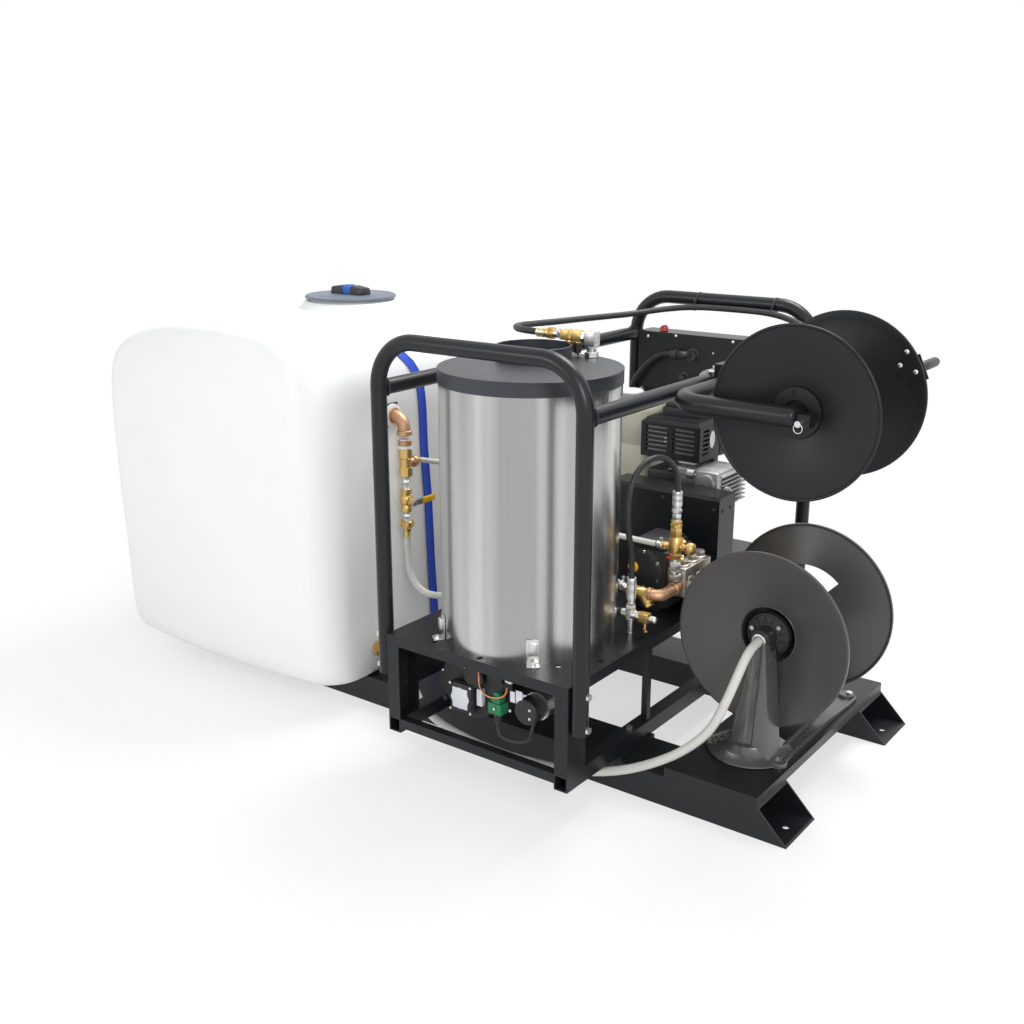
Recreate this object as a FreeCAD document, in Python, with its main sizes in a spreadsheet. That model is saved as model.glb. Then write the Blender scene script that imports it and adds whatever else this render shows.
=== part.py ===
import FreeCAD, Part
import math
import os
import Sketcher

# Skid-mounted hot-water pressure washer with a water tank and two hose reels.
# Frame: +X runs along the skid to the reels, +Y to the engine side, +Z up.
# The origin is on the ground, in the middle of the whole object. All lengths are millimetres.

Vector = FreeCAD.Vector
Rotation = FreeCAD.Rotation
Placement = FreeCAD.Placement

doc = FreeCAD.newDocument("pressure_washer")
sheet = doc.addObject("Spreadsheet::Sheet", "Sizes")
sheet_row = [0]
pieces = []


# A size and the sums made from it
class Size:
    """A number together with the sheet expression that gives it."""

    def __init__(self, number, text):
        self.number = float(number)
        self.text = text

    def combine(self, other, sign, swap=False):
        other = other if isinstance(other, Size) else Size(other, repr(float(other)))
        first, second = (other, self) if swap else (self, other)
        results = {
            "+": lambda: first.number + second.number,
            "-": lambda: first.number - second.number,
            "*": lambda: first.number * second.number,
            "/": lambda: first.number / second.number,
        }
        return Size(results[sign](), "(" + first.text + " " + sign + " " + second.text + ")")

    def __add__(self, other):
        return self.combine(other, "+")

    def __radd__(self, other):
        return self.combine(other, "+", True)

    def __sub__(self, other):
        return self.combine(other, "-")

    def __rsub__(self, other):
        return self.combine(other, "-", True)

    def __mul__(self, other):
        return self.combine(other, "*")

    def __rmul__(self, other):
        return self.combine(other, "*", True)

    def __truediv__(self, other):
        return self.combine(other, "/")

    def __neg__(self):
        return self.combine(-1.0, "*")

    def __float__(self):
        return self.number


def size(alias, number):
    """Write one driving dimension into the sheet and give it back."""
    sheet_row[0] += 1
    row = str(sheet_row[0])
    sheet.set("A" + row, alias.replace("_", " "))
    sheet.set("B" + row, str(number))
    sheet.setAlias("B" + row, alias)
    return Size(number, "Sizes." + alias)


def as_size(value):
    return value if isinstance(value, Size) else Size(value, repr(float(value)))


def bind(thing, name, value):
    """Tie one property of a feature to a size."""
    if isinstance(value, Size):
        thing.setExpression(name, value.text)
    else:
        setattr(thing, name, value)


TURNS = {
    "Z": Rotation(),
    "Y": Rotation(Vector(1, 0, 0), -90),
    "X": Rotation(Vector(0, 1, 0), 90),
    "-Z": Rotation(Vector(1, 0, 0), 180),
    "-Y": Rotation(Vector(1, 0, 0), 90),
    "-X": Rotation(Vector(0, 1, 0), -90),
}


def put(thing, x, y, z, axis="Z", tilt=None):
    """Place a feature, its own Z along the named axis, with its position tied to sizes."""
    turn = tilt if tilt is not None else TURNS[axis]
    thing.Placement = Placement(Vector(float(x), float(y), float(z)), turn)
    for name, value in (("x", x), ("y", y), ("z", z)):
        if isinstance(value, Size):
            thing.setExpression("Placement.Base." + name, value.text)
    return thing


def add(kind, label):
    thing = doc.addObject(kind, label)
    thing.Label = label
    return thing


def box(label, x, y, z, long, wide, tall):
    """Box from its lowest corner and its three lengths."""
    thing = add("Part::Box", label)
    bind(thing, "Length", long)
    bind(thing, "Width", wide)
    bind(thing, "Height", tall)
    return put(thing, x, y, z)


def rod(label, x, y, z, radius, long, axis="Z", tilt=None):
    """Cylinder from the middle of its first end."""
    thing = add("Part::Cylinder", label)
    bind(thing, "Radius", radius)
    bind(thing, "Height", long)
    return put(thing, x, y, z, axis, tilt)


def hexagon(label, x, y, z, radius, long, axis="Z", sides=6):
    """Prism from the middle of its first end; the radius is to its corners."""
    thing = add("Part::Prism", label)
    thing.Polygon = sides
    bind(thing, "Circumradius", radius)
    bind(thing, "Height", long)
    return put(thing, x, y, z, axis)


def fuse(label, *things):
    thing = add("Part::MultiFuse", label)
    thing.Shapes = list(things)
    return thing


def group(label, *things):
    """Several separate solids that share one name."""
    thing = add("Part::Compound", label)
    thing.Links = list(things)
    return thing


def cut(label, base, *tools):
    thing = add("Part::Cut", label)
    thing.Base = base
    thing.Tool = tools[0] if len(tools) == 1 else fuse(label + "_cutters", *tools)
    return thing


def keep(thing):
    """Mark a finished sub-part; its label names its file."""
    pieces.append(thing)
    return thing


def origin_plane(body, role):
    for feature in body.Origin.OriginFeatures:
        if feature.Role == role:
            return feature
    raise ValueError("no plane " + role)


def outline(sketch, corners, closed=True):
    """Outline through corners. A corner is (x, y); one with more values starts an arc and adds
    its radius and a point on it. An open outline stops at its last corner."""
    count = len(corners)
    first = sketch.GeometryCount
    edges = count if closed else count - 1
    starts = []
    for number in range(edges):
        here = corners[number]
        after = corners[(number + 1) % count]
        start = Vector(float(here[0]), float(here[1]), 0)
        end = Vector(float(after[0]), float(after[1]), 0)
        if len(here) > 2:
            middle = Vector(float(here[3]), float(here[4]), 0)
            if (middle - start).cross(end - start).z > 0:
                sketch.addGeometry(Part.Arc(start, middle, end), False)
                starts.append(1)
            else:
                sketch.addGeometry(Part.Arc(end, middle, start), False)
                starts.append(2)
        else:
            sketch.addGeometry(Part.LineSegment(start, end), False)
            starts.append(1)
    for number in range(edges if closed else edges - 1):
        here = first + number
        after = (number + 1) % count
        constraint = Sketcher.Constraint("Coincident", here, 3 - starts[number], first + after, starts[after])
        sketch.addConstraint(constraint)
    for number in range(count):
        edge = min(number, edges - 1)
        point = starts[edge] if number == edge else 3 - starts[edge]
        for name, value in (("DistanceX", corners[number][0]), ("DistanceY", corners[number][1])):
            constraint = Sketcher.Constraint(name, -1, 1, first + edge, point, float(value))
            place = sketch.addConstraint(constraint)
            if isinstance(value, Size):
                sketch.setExpression("Constraints[" + str(place) + "]", value.text)
        if len(corners[number]) > 2:
            radius = corners[number][2]
            place = sketch.addConstraint(Sketcher.Constraint("Radius", first + number, float(radius)))
            if isinstance(radius, Size):
                sketch.setExpression("Constraints[" + str(place) + "]", radius.text)


def circle(sketch, x, y, radius):
    place = sketch.addGeometry(Part.Circle(Vector(float(x), float(y), 0), Vector(0, 0, 1), float(radius)),
                               False)
    for name, value in (("DistanceX", x), ("DistanceY", y)):
        number = sketch.addConstraint(Sketcher.Constraint(name, -1, 1, place, 3, float(value)))
        if isinstance(value, Size):
            sketch.setExpression("Constraints[" + str(number) + "]", value.text)
    number = sketch.addConstraint(Sketcher.Constraint("Radius", place, float(radius)))
    if isinstance(radius, Size):
        sketch.setExpression("Constraints[" + str(number) + "]", radius.text)


def rectangle(x, y, long, wide):
    """Corners of a rectangle from its lowest corner."""
    return [(x, y), (x + long, y), (x + long, y + wide), (x, y + wide)]


def new_body(label):
    return add("PartDesign::Body", label)


def new_sketch(body, name, plane="XY_Plane", offset=None):
    sketch = body.newObject("Sketcher::SketchObject", name)
    sketch.AttachmentSupport = [(origin_plane(body, plane), "")]
    sketch.MapMode = "FlatFace"
    if offset is not None:
        sketch.AttachmentOffset = Placement(Vector(0, 0, float(offset)), Rotation())
        if isinstance(offset, Size):
            sketch.setExpression("AttachmentOffset.Base.z", offset.text)
    return sketch


def pad(body, name, sketch, long):
    feature = body.newObject("PartDesign::Pad", name)
    feature.Profile = sketch
    bind(feature, "Length", long)
    sketch.Visibility = False
    return feature


def pocket(body, name, sketch, deep, reverse=False):
    feature = body.newObject("PartDesign::Pocket", name)
    feature.Profile = sketch
    bind(feature, "Length", deep)
    feature.Reversed = reverse
    return feature


def revolve(body, name, sketch, axis="V_Axis"):
    feature = body.newObject("PartDesign::Revolution", name)
    feature.Profile = sketch
    feature.ReferenceAxis = (sketch, [axis])
    feature.Angle = 360
    return feature


def turned(label, corners, x, y, z, axis="Z"):
    """Body turned about its own Z from (radius, height) corners."""
    body = new_body(label)
    sketch = new_sketch(body, label + "_section", "XZ_Plane")
    outline(sketch, corners)
    revolve(body, label + "_turn", sketch)
    return put(body, x, y, z, axis)


def hose(label, route, diameter):
    """Round hose: straight runs joined by tangent arcs. Prints its radii."""
    points = [Vector(*point) for point in route]
    edges = []
    radii = []
    start = points[0]
    for number in range(1, len(points) - 1):
        here = points[number]
        back = points[number - 1] - here
        ahead = points[number + 1] - here
        turn = math.pi - back.getAngle(ahead)
        shorter = min(back.Length, ahead.Length)
        trim = 0.45 * shorter
        radius = trim / math.tan(turn / 2)
        radii.append(radius)
        first = here + back.normalize() * trim
        last = here + ahead.normalize() * trim
        centre_way = (back + ahead).normalize()
        middle = here + centre_way * (radius / math.cos(turn / 2) - radius)
        edges.append(Part.LineSegment(start, first).toShape())
        edges.append(Part.Arc(first, middle, last).toShape())
        start = last
    edges.append(Part.LineSegment(start, points[-1]).toShape())
    path = Part.Wire(edges)
    way = points[1] - points[0]
    ring = Part.Wire([Part.makeCircle(diameter / 2, points[0], way)])
    solid = path.makePipeShell([ring], True, False)
    ideal = math.pi * diameter * diameter / 4 * path.Length
    print(label, "length", round(path.Length), "volume ratio", round(solid.Volume / ideal, 4),
          "radii", [round(radius) for radius in radii])
    thing = add("Part::Feature", label)
    thing.Shape = solid
    return keep(thing)


def pipe(label, corners, plane, level, centre, radius, bore):
    """Bent tube along an open outline that starts upward from the given level."""
    body = new_body(label)
    spine = new_sketch(body, label + "_route", plane)
    outline(spine, corners, False)
    edges = ["Edge" + str(number + 1) for number in range(len(corners) - 1)]
    section = new_sketch(body, label + "_section", "XY_Plane", level)
    circle(section, centre[0], centre[1], radius)
    feature = body.newObject("PartDesign::AdditivePipe", label + "_sweep")
    feature.Profile = section
    feature.Spine = (spine, edges)
    if bore is not None:
        bore_section = new_sketch(body, label + "_bore_section", "XY_Plane", level)
        circle(bore_section, centre[0], centre[1], bore)
        hollow = body.newObject("PartDesign::SubtractivePipe", label + "_bore")
        hollow.Profile = bore_section
        hollow.Spine = (spine, edges)
    return body


def bolt(label, x, y, z, axis, radius, long, head_tall, nut_at):
    """Hexagon bolt: the point is under its head, the shank runs along the axis, the nut stands
    at the given distance from the head."""
    way = {"X": (1, 0, 0), "-X": (-1, 0, 0), "Y": (0, 1, 0), "-Y": (0, -1, 0), "Z": (0, 0, 1),
           "-Z": (0, 0, -1)}[axis]
    shank = rod(label + "_shank", x, y, z, radius, long, axis)
    head = hexagon(label + "_head", x - way[0] * head_tall, y - way[1] * head_tall, z - way[2] * head_tall,
                   radius * 1.9, head_tall, axis)
    nut = hexagon(label + "_nut", x + way[0] * nut_at, y + way[1] * nut_at, z + way[2] * nut_at,
                  radius * 1.9, radius * 1.6, axis)
    return fuse(label, shank, head, nut)


# Driving dimensions shared by several pieces
fit_gap = size("fit_gap", 0.05)
seat_gap = size("seat_gap", 0.3)
sheet_thick = size("sheet_thick", 4)
rail_wide = size("rail_wide", 172)
rail_tall = size("rail_tall", 84)
rail_wall = size("rail_wall", 5)
rail_half = size("rail_half_length", 1095)
rail_slant = size("rail_slant", 83)
rail_mid = size("rail_middle", 332)
deck_tall = size("deck_tall", 26)
deck_start = size("deck_start", 753)
deck_end = size("deck_end", 1012)
pad_tall = size("pad_tall", 12)
bed_start = size("bed_start", 27)
bed_end = size("bed_end", 616)
bed_half = size("bed_half_width", 657)
bed_top = size("bed_top", 379)
apron_tall = size("apron_tall", 30)
leg_long = size("leg_long", 40)
leg_wide = size("leg_wide", 80)
member_tall = size("member_tall", 42)
hoop_radius = size("hoop_radius", 21.1)
hoop_wall = size("hoop_wall", 3.2)
hoop_top = size("hoop_top", 1166)
hoop_bend = size("hoop_bend", 120)
hoop_foot = size("hoop_foot", 256)
crossbar_high = size("crossbar_high", 1040)
bolt_radius = size("bolt_radius", 5)
burner_x = size("burner_x", 315)
burner_y = size("burner_y", -402)
burner_radius = size("burner_radius", 236)
burner_wall = size("burner_wall", 2)
shell_top = size("shell_top", 1071)
lid_tall = size("lid_tall", 25)
flue_x = size("flue_x", 252)
flue_y = size("flue_y", -300)
flue_radius = size("flue_radius", 100)
flue_tall = size("flue_tall", 36)

# Two open steel skid rails with slanted ends and bolt holes in their floors
deck_top = rail_tall + deck_tall
base_low = rail_tall + pad_tall
base_top = base_low + member_tall
rail_bolt_x = size("rail_bolt_x", 1055)
rail_bolt_radius = size("rail_bolt_radius", 9)


def skid_rail(label, side):
    body = new_body(label)
    section = new_sketch(body, label + "_section", "YZ_Plane")
    outline(section, rectangle(rail_wide * -0.5, as_size(0.0), rail_wide, rail_tall))
    outline(section, rectangle(rail_wide * -0.5 + rail_wall, rail_wall, rail_wide - rail_wall * 2,
                               rail_tall - rail_wall * 2))
    pad(body, label + "_pad", section, rail_half * 2)
    ends = new_sketch(body, label + "_ends", "XZ_Plane")
    far_end = rail_half * 2
    outline(ends, [(far_end, as_size(0.0)), (far_end + 5, as_size(0.0)), (far_end + 5, rail_tall + 5),
                   (far_end - rail_slant, rail_tall + 5), (far_end - rail_slant, rail_tall)])
    outline(ends, [(as_size(0.0), as_size(0.0)), (rail_slant, rail_tall), (rail_slant, rail_tall + 5),
                   (as_size(-5.0), rail_tall + 5), (as_size(-5.0), as_size(0.0))])
    slants = pocket(body, label + "_slants", ends, rail_wide * 2)
    slants.Midplane = True
    holes = new_sketch(body, label + "_holes", "XY_Plane")
    circle(holes, rail_half - rail_bolt_x, as_size(0.0), rail_bolt_radius)
    circle(holes, rail_half + rail_bolt_x, as_size(0.0), rail_bolt_radius)
    pocket(body, label + "_bolt_holes", holes, rail_wall, True)
    base_hole = rod(label + "_bed_hole_rear", bed_start + leg_long / 2, rail_mid * side, rail_wall * 2,
                    bolt_radius + seat_gap, rail_tall)
    base_hole_front = rod(label + "_bed_hole_front", bed_end - leg_long / 2, rail_mid * side, rail_wall * 2,
                          bolt_radius + seat_gap, rail_tall)
    put(body, -rail_half, rail_mid * side, as_size(0.0))
    body.Label = label + "_tube"
    return cut(label, body, base_hole, base_hole_front)


keep(group("skid_rails", skid_rail("near_skid_rail", -1), skid_rail("far_skid_rail", 1)))

# Folded deck plate across the front of the rails
deck_half = rail_mid + rail_wide / 2
deck_long = deck_end - deck_start
deck_outer = box("deck_outer", deck_start, -deck_half, rail_tall, deck_long, deck_half * 2, deck_tall)
deck_inner = box("deck_inner", deck_start + sheet_thick, sheet_thick - deck_half, rail_tall,
                 deck_long - sheet_thick * 2, (deck_half - sheet_thick) * 2, deck_tall - sheet_thick)
STAND_BOLTS = ((781, -218), (976, -218), (974, 262))
deck_holes = []
for number, (x, y) in enumerate(STAND_BOLTS):
    deck_holes.append(rod("deck_hole_" + str(number), as_size(float(x)), as_size(float(y)), deck_top - 12,
                          bolt_radius + seat_gap, as_size(24.0)))
keep(cut("reel_deck", deck_outer, deck_inner, *deck_holes))

# Pads that lift the machine frame off the rails, welded under its base
pads = []
for name, x in (("rear", bed_start), ("front", bed_end - leg_long)):
    for side_name, side in (("near", -1), ("far", 1)):
        label = "mounting_pad_" + name + "_" + side_name
        block = box(label + "_block", x - 10, rail_mid * side - rail_wide / 2, rail_tall, leg_long + 20,
                    rail_wide, pad_tall)
        hole = rod(label + "_hole", x + leg_long / 2, rail_mid * side, rail_tall - 1,
                   bolt_radius + seat_gap, pad_tall + 2)
        pads.append(cut(label, block, hole))

# Welded base frame: two cross members on the pads and a bar along each side
members = []
base_holes = []
for name, x in (("rear", bed_start), ("front", bed_end - leg_long)):
    outer = box("base_" + name + "_outer", x, -bed_half, base_low, leg_long, bed_half * 2, member_tall)
    inner = box("base_" + name + "_inner", x + sheet_thick, -bed_half, base_low + sheet_thick,
                leg_long - sheet_thick * 2, bed_half * 2, member_tall - sheet_thick * 2)
    members.append(cut("base_" + name + "_member", outer, inner))
    for side_name, side in (("near", -1), ("far", 1)):
        base_holes.append(rod("base_hole_" + name + "_" + side_name, x + leg_long / 2, rail_mid * side,
                              base_low - 1, bolt_radius + seat_gap, member_tall + 2))
side_bar = size("side_bar", 26)
bar_long = bed_end - bed_start - leg_long * 2
for side_name, y in (("near", -bed_half), ("far", bed_half - side_bar)):
    members.append(box("base_bar_" + side_name, bed_start + leg_long, y, base_top - side_bar, bar_long,
                       side_bar, side_bar))
keep(cut("base_frame", fuse("base_members", *members, *pads), *base_holes))

base_bolt_set = []
for name, x in (("rear", bed_start + leg_long / 2), ("front", bed_end - leg_long / 2)):
    for side_name, side in (("near", -1), ("far", 1)):
        base_bolt_set.append(bolt("base_bolt_" + name + "_" + side_name, x, rail_mid * side, base_top, "-Z",
                                  bolt_radius, base_top - rail_tall + rail_wall + 14, 7,
                                  base_top - rail_tall + rail_wall))

# Machine bed: one folded table with an apron, channel legs at its corners and two front posts
bed_long = bed_end - bed_start
bed_bolt_high = size("bed_bolt_high", 361)
bed_bolt_low = size("bed_bolt_low", 273)
burner_hole = size("burner_hole", 130)
table_outer = box("table_outer", bed_start, -bed_half, bed_top - apron_tall, bed_long, bed_half * 2,
                  apron_tall)
table_inner = box("table_inner", bed_start + sheet_thick, sheet_thick - bed_half, bed_top - apron_tall,
                  bed_long - sheet_thick * 2, (bed_half - sheet_thick) * 2, apron_tall - sheet_thick)
bed_parts = [cut("table_shell", table_outer, table_inner)]
leg_tall = bed_top - sheet_thick - base_top
for name, x, open_x in (("rear", bed_start, bed_start + sheet_thick),
                        ("front", bed_end - leg_long, bed_end - leg_long)):
    for side_name, y in (("near", -bed_half), ("far", bed_half - leg_wide)):
        label = "leg_" + name + "_" + side_name
        outer = box(label + "_outer", x, y, base_top, leg_long, leg_wide, leg_tall)
        inner = box(label + "_inner", open_x, y + sheet_thick, base_top, leg_long - sheet_thick,
                    leg_wide - sheet_thick * 2, leg_tall)
        bed_parts.append(cut(label, outer, inner))
post_wide = size("post_wide", 18)
for side_name, y in (("near", as_size(-269.0)), ("far", as_size(251.0))):
    bed_parts.append(box("front_post_" + side_name, bed_end - post_wide - sheet_thick, y, base_top, post_wide,
                         post_wide, leg_tall))
bed_cutters = [rod("bed_burner_hole", burner_x, burner_y, bed_top - 10, burner_hole, 20)]
hoop_y = bed_half - hoop_radius
rear_hoop_x = bed_start - hoop_radius
front_hoop_x = bed_end + hoop_radius
for side_name, side in (("near", -1), ("far", 1)):
    for level, z in (("high", bed_bolt_high), ("low", bed_bolt_low)):
        bed_cutters.append(rod("bed_bolt_hole_" + side_name + "_" + level, bed_start - 60, hoop_y * side, z,
                               bolt_radius + seat_gap, bed_long + 120, "X"))
for number, (x, y, radius) in enumerate(((170, -625, 8), (330, -640, 8), (520, -560, 8), (590, -470, 8),
                                         (120, -150, 14), (560, 300, 14), (180, 566, 14))):
    bed_cutters.append(rod("bed_hole_" + str(number), as_size(x), as_size(y), bed_top - 10, as_size(radius),
                           20))
keep(cut("machine_bed", fuse("bed_weldment", *bed_parts), *bed_cutters))

# Roll hoops of bent tube, bolted to the outer faces of the legs
hoop_lean = hoop_bend * (1 - math.sqrt(0.5))


def roll_hoop(label, side):
    level = hoop_top - hoop_bend
    corners = [
        (rear_hoop_x, hoop_foot),
        (rear_hoop_x, level, hoop_bend, rear_hoop_x + hoop_lean, hoop_top - hoop_lean),
        (rear_hoop_x + hoop_bend, hoop_top),
        (front_hoop_x - hoop_bend, hoop_top, hoop_bend, front_hoop_x - hoop_lean, hoop_top - hoop_lean),
        (front_hoop_x, level),
        (front_hoop_x, hoop_foot),
    ]
    tube = pipe(label + "_tube", corners, "XZ_Plane", hoop_foot, (rear_hoop_x, as_size(0.0)), hoop_radius,
                hoop_radius - hoop_wall)
    put(tube, as_size(0.0), hoop_y * side, as_size(0.0))
    holes = []
    for level_name, z in (("high", bed_bolt_high), ("low", bed_bolt_low)):
        holes.append(rod(label + "_hole_" + level_name, rear_hoop_x - 40, hoop_y * side, z,
                         bolt_radius + seat_gap, bed_long + hoop_radius * 2 + 80, "X"))
    return cut(label, tube, *holes)


keep(group("roll_hoops", roll_hoop("near_roll_hoop", -1), roll_hoop("far_roll_hoop", 1)))

hoop_bolt_set = []
through = hoop_radius * 2 + sheet_thick
for side_name, side in (("near", -1), ("far", 1)):
    for level, z in (("high", bed_bolt_high), ("low", bed_bolt_low)):
        name = "hoop_bolt_" + side_name + "_" + level
        hoop_bolt_set.append(bolt(name + "_rear", bed_start - hoop_radius * 2, hoop_y * side, z, "X",
                                  bolt_radius, through + 14, 7, through))
        hoop_bolt_set.append(bolt(name + "_front", bed_end + hoop_radius * 2, hoop_y * side, z, "-X",
                                  bolt_radius, through + 14, 7, through))
keep(group("frame_bolts", *base_bolt_set, *hoop_bolt_set))


def crossbar(label, x):
    outer = rod(label + "_outer", x, -hoop_y, crossbar_high, hoop_radius, hoop_y * 2, "Y")
    inner = rod(label + "_bore", x, -hoop_y, crossbar_high, hoop_radius - hoop_wall, hoop_y * 2, "Y")
    near_saddle = rod(label + "_near_saddle", x, -hoop_y, crossbar_high - 60, hoop_radius + 0.1, 120)
    far_saddle = rod(label + "_far_saddle", x, hoop_y, crossbar_high - 60, hoop_radius + 0.1, 120)
    return cut(label, outer, inner, near_saddle, far_saddle)


keep(group("crossbars", crossbar("rear_crossbar", rear_hoop_x), crossbar("front_crossbar", front_hoop_x)))

# Water heater: stainless shell, insulation, wound heating coil, lid with an off-centre flue
lid_top = shell_top + lid_tall
shell_tall = shell_top - bed_top
lid_radius = burner_radius + 2.5
keep(turned("burner_shell", [
    (burner_radius - burner_wall, as_size(0.0)), (burner_radius, as_size(0.0)), (burner_radius, shell_tall),
    (burner_radius - burner_wall, shell_tall)], burner_x, burner_y, bed_top))
insulation_thick = size("insulation_thick", 25)
insulation_out = burner_radius - burner_wall - seat_gap
insulation_in = insulation_out - insulation_thick
keep(turned("burner_insulation", [
    (insulation_in, as_size(0.0)), (insulation_out, as_size(0.0)), (insulation_out, shell_tall),
    (insulation_in, shell_tall)], burner_x, burner_y, bed_top))
lid_disc = rod("lid_disc", burner_x, burner_y, shell_top, lid_radius, lid_tall)
lid_skirt_space = rod("lid_skirt_space", burner_x, burner_y, shell_top - 12, burner_radius + seat_gap, 12)
lid_skirt = rod("lid_skirt", burner_x, burner_y, shell_top - 12, lid_radius, 12)
flue_hole = rod("flue_hole", flue_x, flue_y, shell_top - 20, flue_radius - 3, lid_tall + 80)
coil_tube = size("coil_tube", 21)
outlet_x = size("outlet_x", 365)
outlet_y = size("outlet_y", -195)
outlet_hole = rod("outlet_hole", outlet_x, outlet_y, shell_top - 20, coil_tube / 2 + seat_gap, lid_tall + 40)
flue_collar = turned("flue_collar", [
    (flue_radius - 3, as_size(0.0)), (flue_radius, as_size(0.0)), (flue_radius, flue_tall + 5),
    (flue_radius - 3, flue_tall + 5)], flue_x, flue_y, lid_top - 5)
keep(cut("burner_lid", fuse("lid_pressing", lid_disc, cut("lid_rim", lid_skirt, lid_skirt_space), flue_collar),
         flue_hole, outlet_hole))

coil_radius = size("coil_radius", 182)
coil_pitch = size("coil_pitch", 112)
coil_low = bed_top + 40
half_tube = coil_tube / 2
coil_rings = []
for number in range(6):
    coil_rings.append(turned("coil_ring_" + str(number), [
        (coil_radius - half_tube, as_size(0.0)), (coil_radius - half_tube * 0.5, half_tube * -0.87),
        (coil_radius + half_tube * 0.5, half_tube * -0.87), (coil_radius + half_tube, as_size(0.0)),
        (coil_radius + half_tube * 0.5, half_tube * 0.87), (coil_radius - half_tube * 0.5, half_tube * 0.87)],
        burner_x, burner_y, coil_low + coil_tube + coil_pitch * number))
header_tall = coil_pitch * 5 + coil_tube * 2 + 30
header_in = rod("coil_header_in", burner_x, burner_y - coil_radius, bed_top, half_tube - 1, header_tall)
header_out = rod("coil_header_out", burner_x, burner_y + coil_radius, bed_top, half_tube - 1, header_tall)
keep(fuse("heating_coil", header_in, header_out, *coil_rings))

latch_set = []
for number, angle in enumerate((-128.0, -52.0, 75.0)):
    way_x = math.cos(math.radians(angle))
    way_y = math.sin(math.radians(angle))
    turn = Rotation(Vector(0, 0, 1), angle)
    plate = box("latch_plate_" + str(number), 0, 0, 0, 3, 24, 62)
    plate.Placement = Placement(Vector(315 + 236 * way_x + 12 * way_y, -402 + 236 * way_y - 12 * way_x,
                                       384), turn)
    hook = box("latch_hook_" + str(number), 0, 0, 0, 12, 16, 30)
    hook.Placement = Placement(Vector(315 + 238.9 * way_x + 8 * way_y, -402 + 238.9 * way_y - 8 * way_x,
                                      398), turn)
    foot = box("latch_foot_" + str(number), 0, 0, 0, 22, 24, 5)
    foot.Placement = Placement(Vector(315 + 236 * way_x + 12 * way_y, -402 + 236 * way_y - 12 * way_x, 379),
                               turn)
    latch_set.append(fuse("burner_latch_" + str(number), plate, hook, foot))
keep(group("burner_latches", *latch_set))

# Fittings on the lid: elbow, brass block with two switches, then the outlet hose
row_high = size("row_high", 1150)
row_end = size("row_end", 190)
fitting_base = hexagon("outlet_nut", outlet_x, outlet_y, lid_top, as_size(19.0), as_size(18.0))
fitting_stem = rod("outlet_stem", outlet_x, outlet_y, lid_top - lid_tall, coil_tube / 2,
                   row_high - lid_top + lid_tall)
fitting_elbow = rod("outlet_elbow", outlet_x + 18, outlet_y, row_high, as_size(17.0), as_size(50.0), "-X")
fitting_block = hexagon("outlet_block", outlet_x - 32, outlet_y, row_high, as_size(18.0), as_size(70.0), "-X")
switch_bosses = [rod("outlet_boss_a", outlet_x - 45, outlet_y, row_high, as_size(9.0), as_size(19.0), "-Z"),
                 rod("outlet_boss_b", outlet_x - 72, outlet_y, row_high, as_size(9.0), as_size(19.0), "-Z")]
fitting_neck = rod("outlet_neck", outlet_x - 102, outlet_y, row_high, as_size(11.0), as_size(23.0), "-X")
fitting_swivel = hexagon("outlet_swivel", outlet_x - 125, outlet_y, row_high, as_size(16.0), as_size(22.0),
                         "-X")
fitting_ferrule = rod("outlet_ferrule", outlet_x - 147, outlet_y, row_high, as_size(14.0),
                      outlet_x - 147 - row_end, "-X")
keep(fuse("coil_outlet_fittings", fitting_base, fitting_stem, fitting_elbow, fitting_block, fitting_neck,
          fitting_swivel, fitting_ferrule, *switch_bosses))
switches = []
for label, along in (("temperature_switch", 45), ("pressure_switch", 72)):
    neck = hexagon(label + "_neck", outlet_x - along, outlet_y, row_high - 19, as_size(10.0), as_size(5.0),
                   "-Z")
    cap = rod(label + "_cap", outlet_x - along, outlet_y, row_high - 23, as_size(11.5), as_size(24.0), "-Z")
    switches.append(fuse(label, neck, cap))
keep(group("outlet_switches", *switches))

# Burner head below the bed: blower housing, fan, motor and ignition block
head_y = size("head_y", -560)
keep_high = bed_top - sheet_thick
blower_x = size("blower_x", 235)
blower_z = size("blower_z", 250)
blower_radius = size("blower_radius", 95)
blower_shell = rod("blower_shell", blower_x, head_y, blower_z, blower_radius, as_size(100.0), "Y")
blower_duct = box("blower_duct", blower_x - 10, head_y, blower_z, as_size(150.0), as_size(100.0),
                  keep_high - blower_z)
blower_bore = rod("blower_bore", blower_x, head_y + 5, blower_z, blower_radius - 5, as_size(90.0), "Y")
blower_shaft_hole = rod("blower_shaft_hole", blower_x, head_y + 90, blower_z, as_size(8.0) + seat_gap,
                        as_size(20.0), "Y")
duct_bore = box("duct_bore", blower_x, head_y + 5, blower_z + 40, as_size(130.0), as_size(90.0),
                as_size(100.0))
keep(cut("blower_housing", fuse("blower_casting", blower_shell, blower_duct), blower_bore, duct_bore,
         blower_shaft_hole))
fan_hub = rod("fan_hub", blower_x, head_y + 20, blower_z, as_size(18.0), as_size(66.0), "Y")
fan_plate = rod("fan_plate", blower_x, head_y + 80, blower_z, as_size(72.0), as_size(4.0), "Y")
fan_shaft = rod("fan_shaft", blower_x, head_y + 84, blower_z, as_size(8.0), as_size(60.0), "Y")
fan_blades = []
for number in range(12):
    blade = box("fan_blade_" + str(number), 0, 0, 0, 14, 56, 3)
    angle = number * 30.0
    turn = Rotation(Vector(0, 1, 0), -angle)
    reach = 58.0
    blade.Placement = Placement(Vector(235 + reach * math.cos(math.radians(angle)), -532,
                                       250 + reach * math.sin(math.radians(angle))), turn)
    fan_blades.append(blade)
keep(fuse("blower_fan", fan_hub, fan_plate, fan_shaft, *fan_blades))
motor_body = rod("motor_body", blower_x, head_y + 100, blower_z, as_size(60.0), as_size(120.0), "Y")
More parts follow.
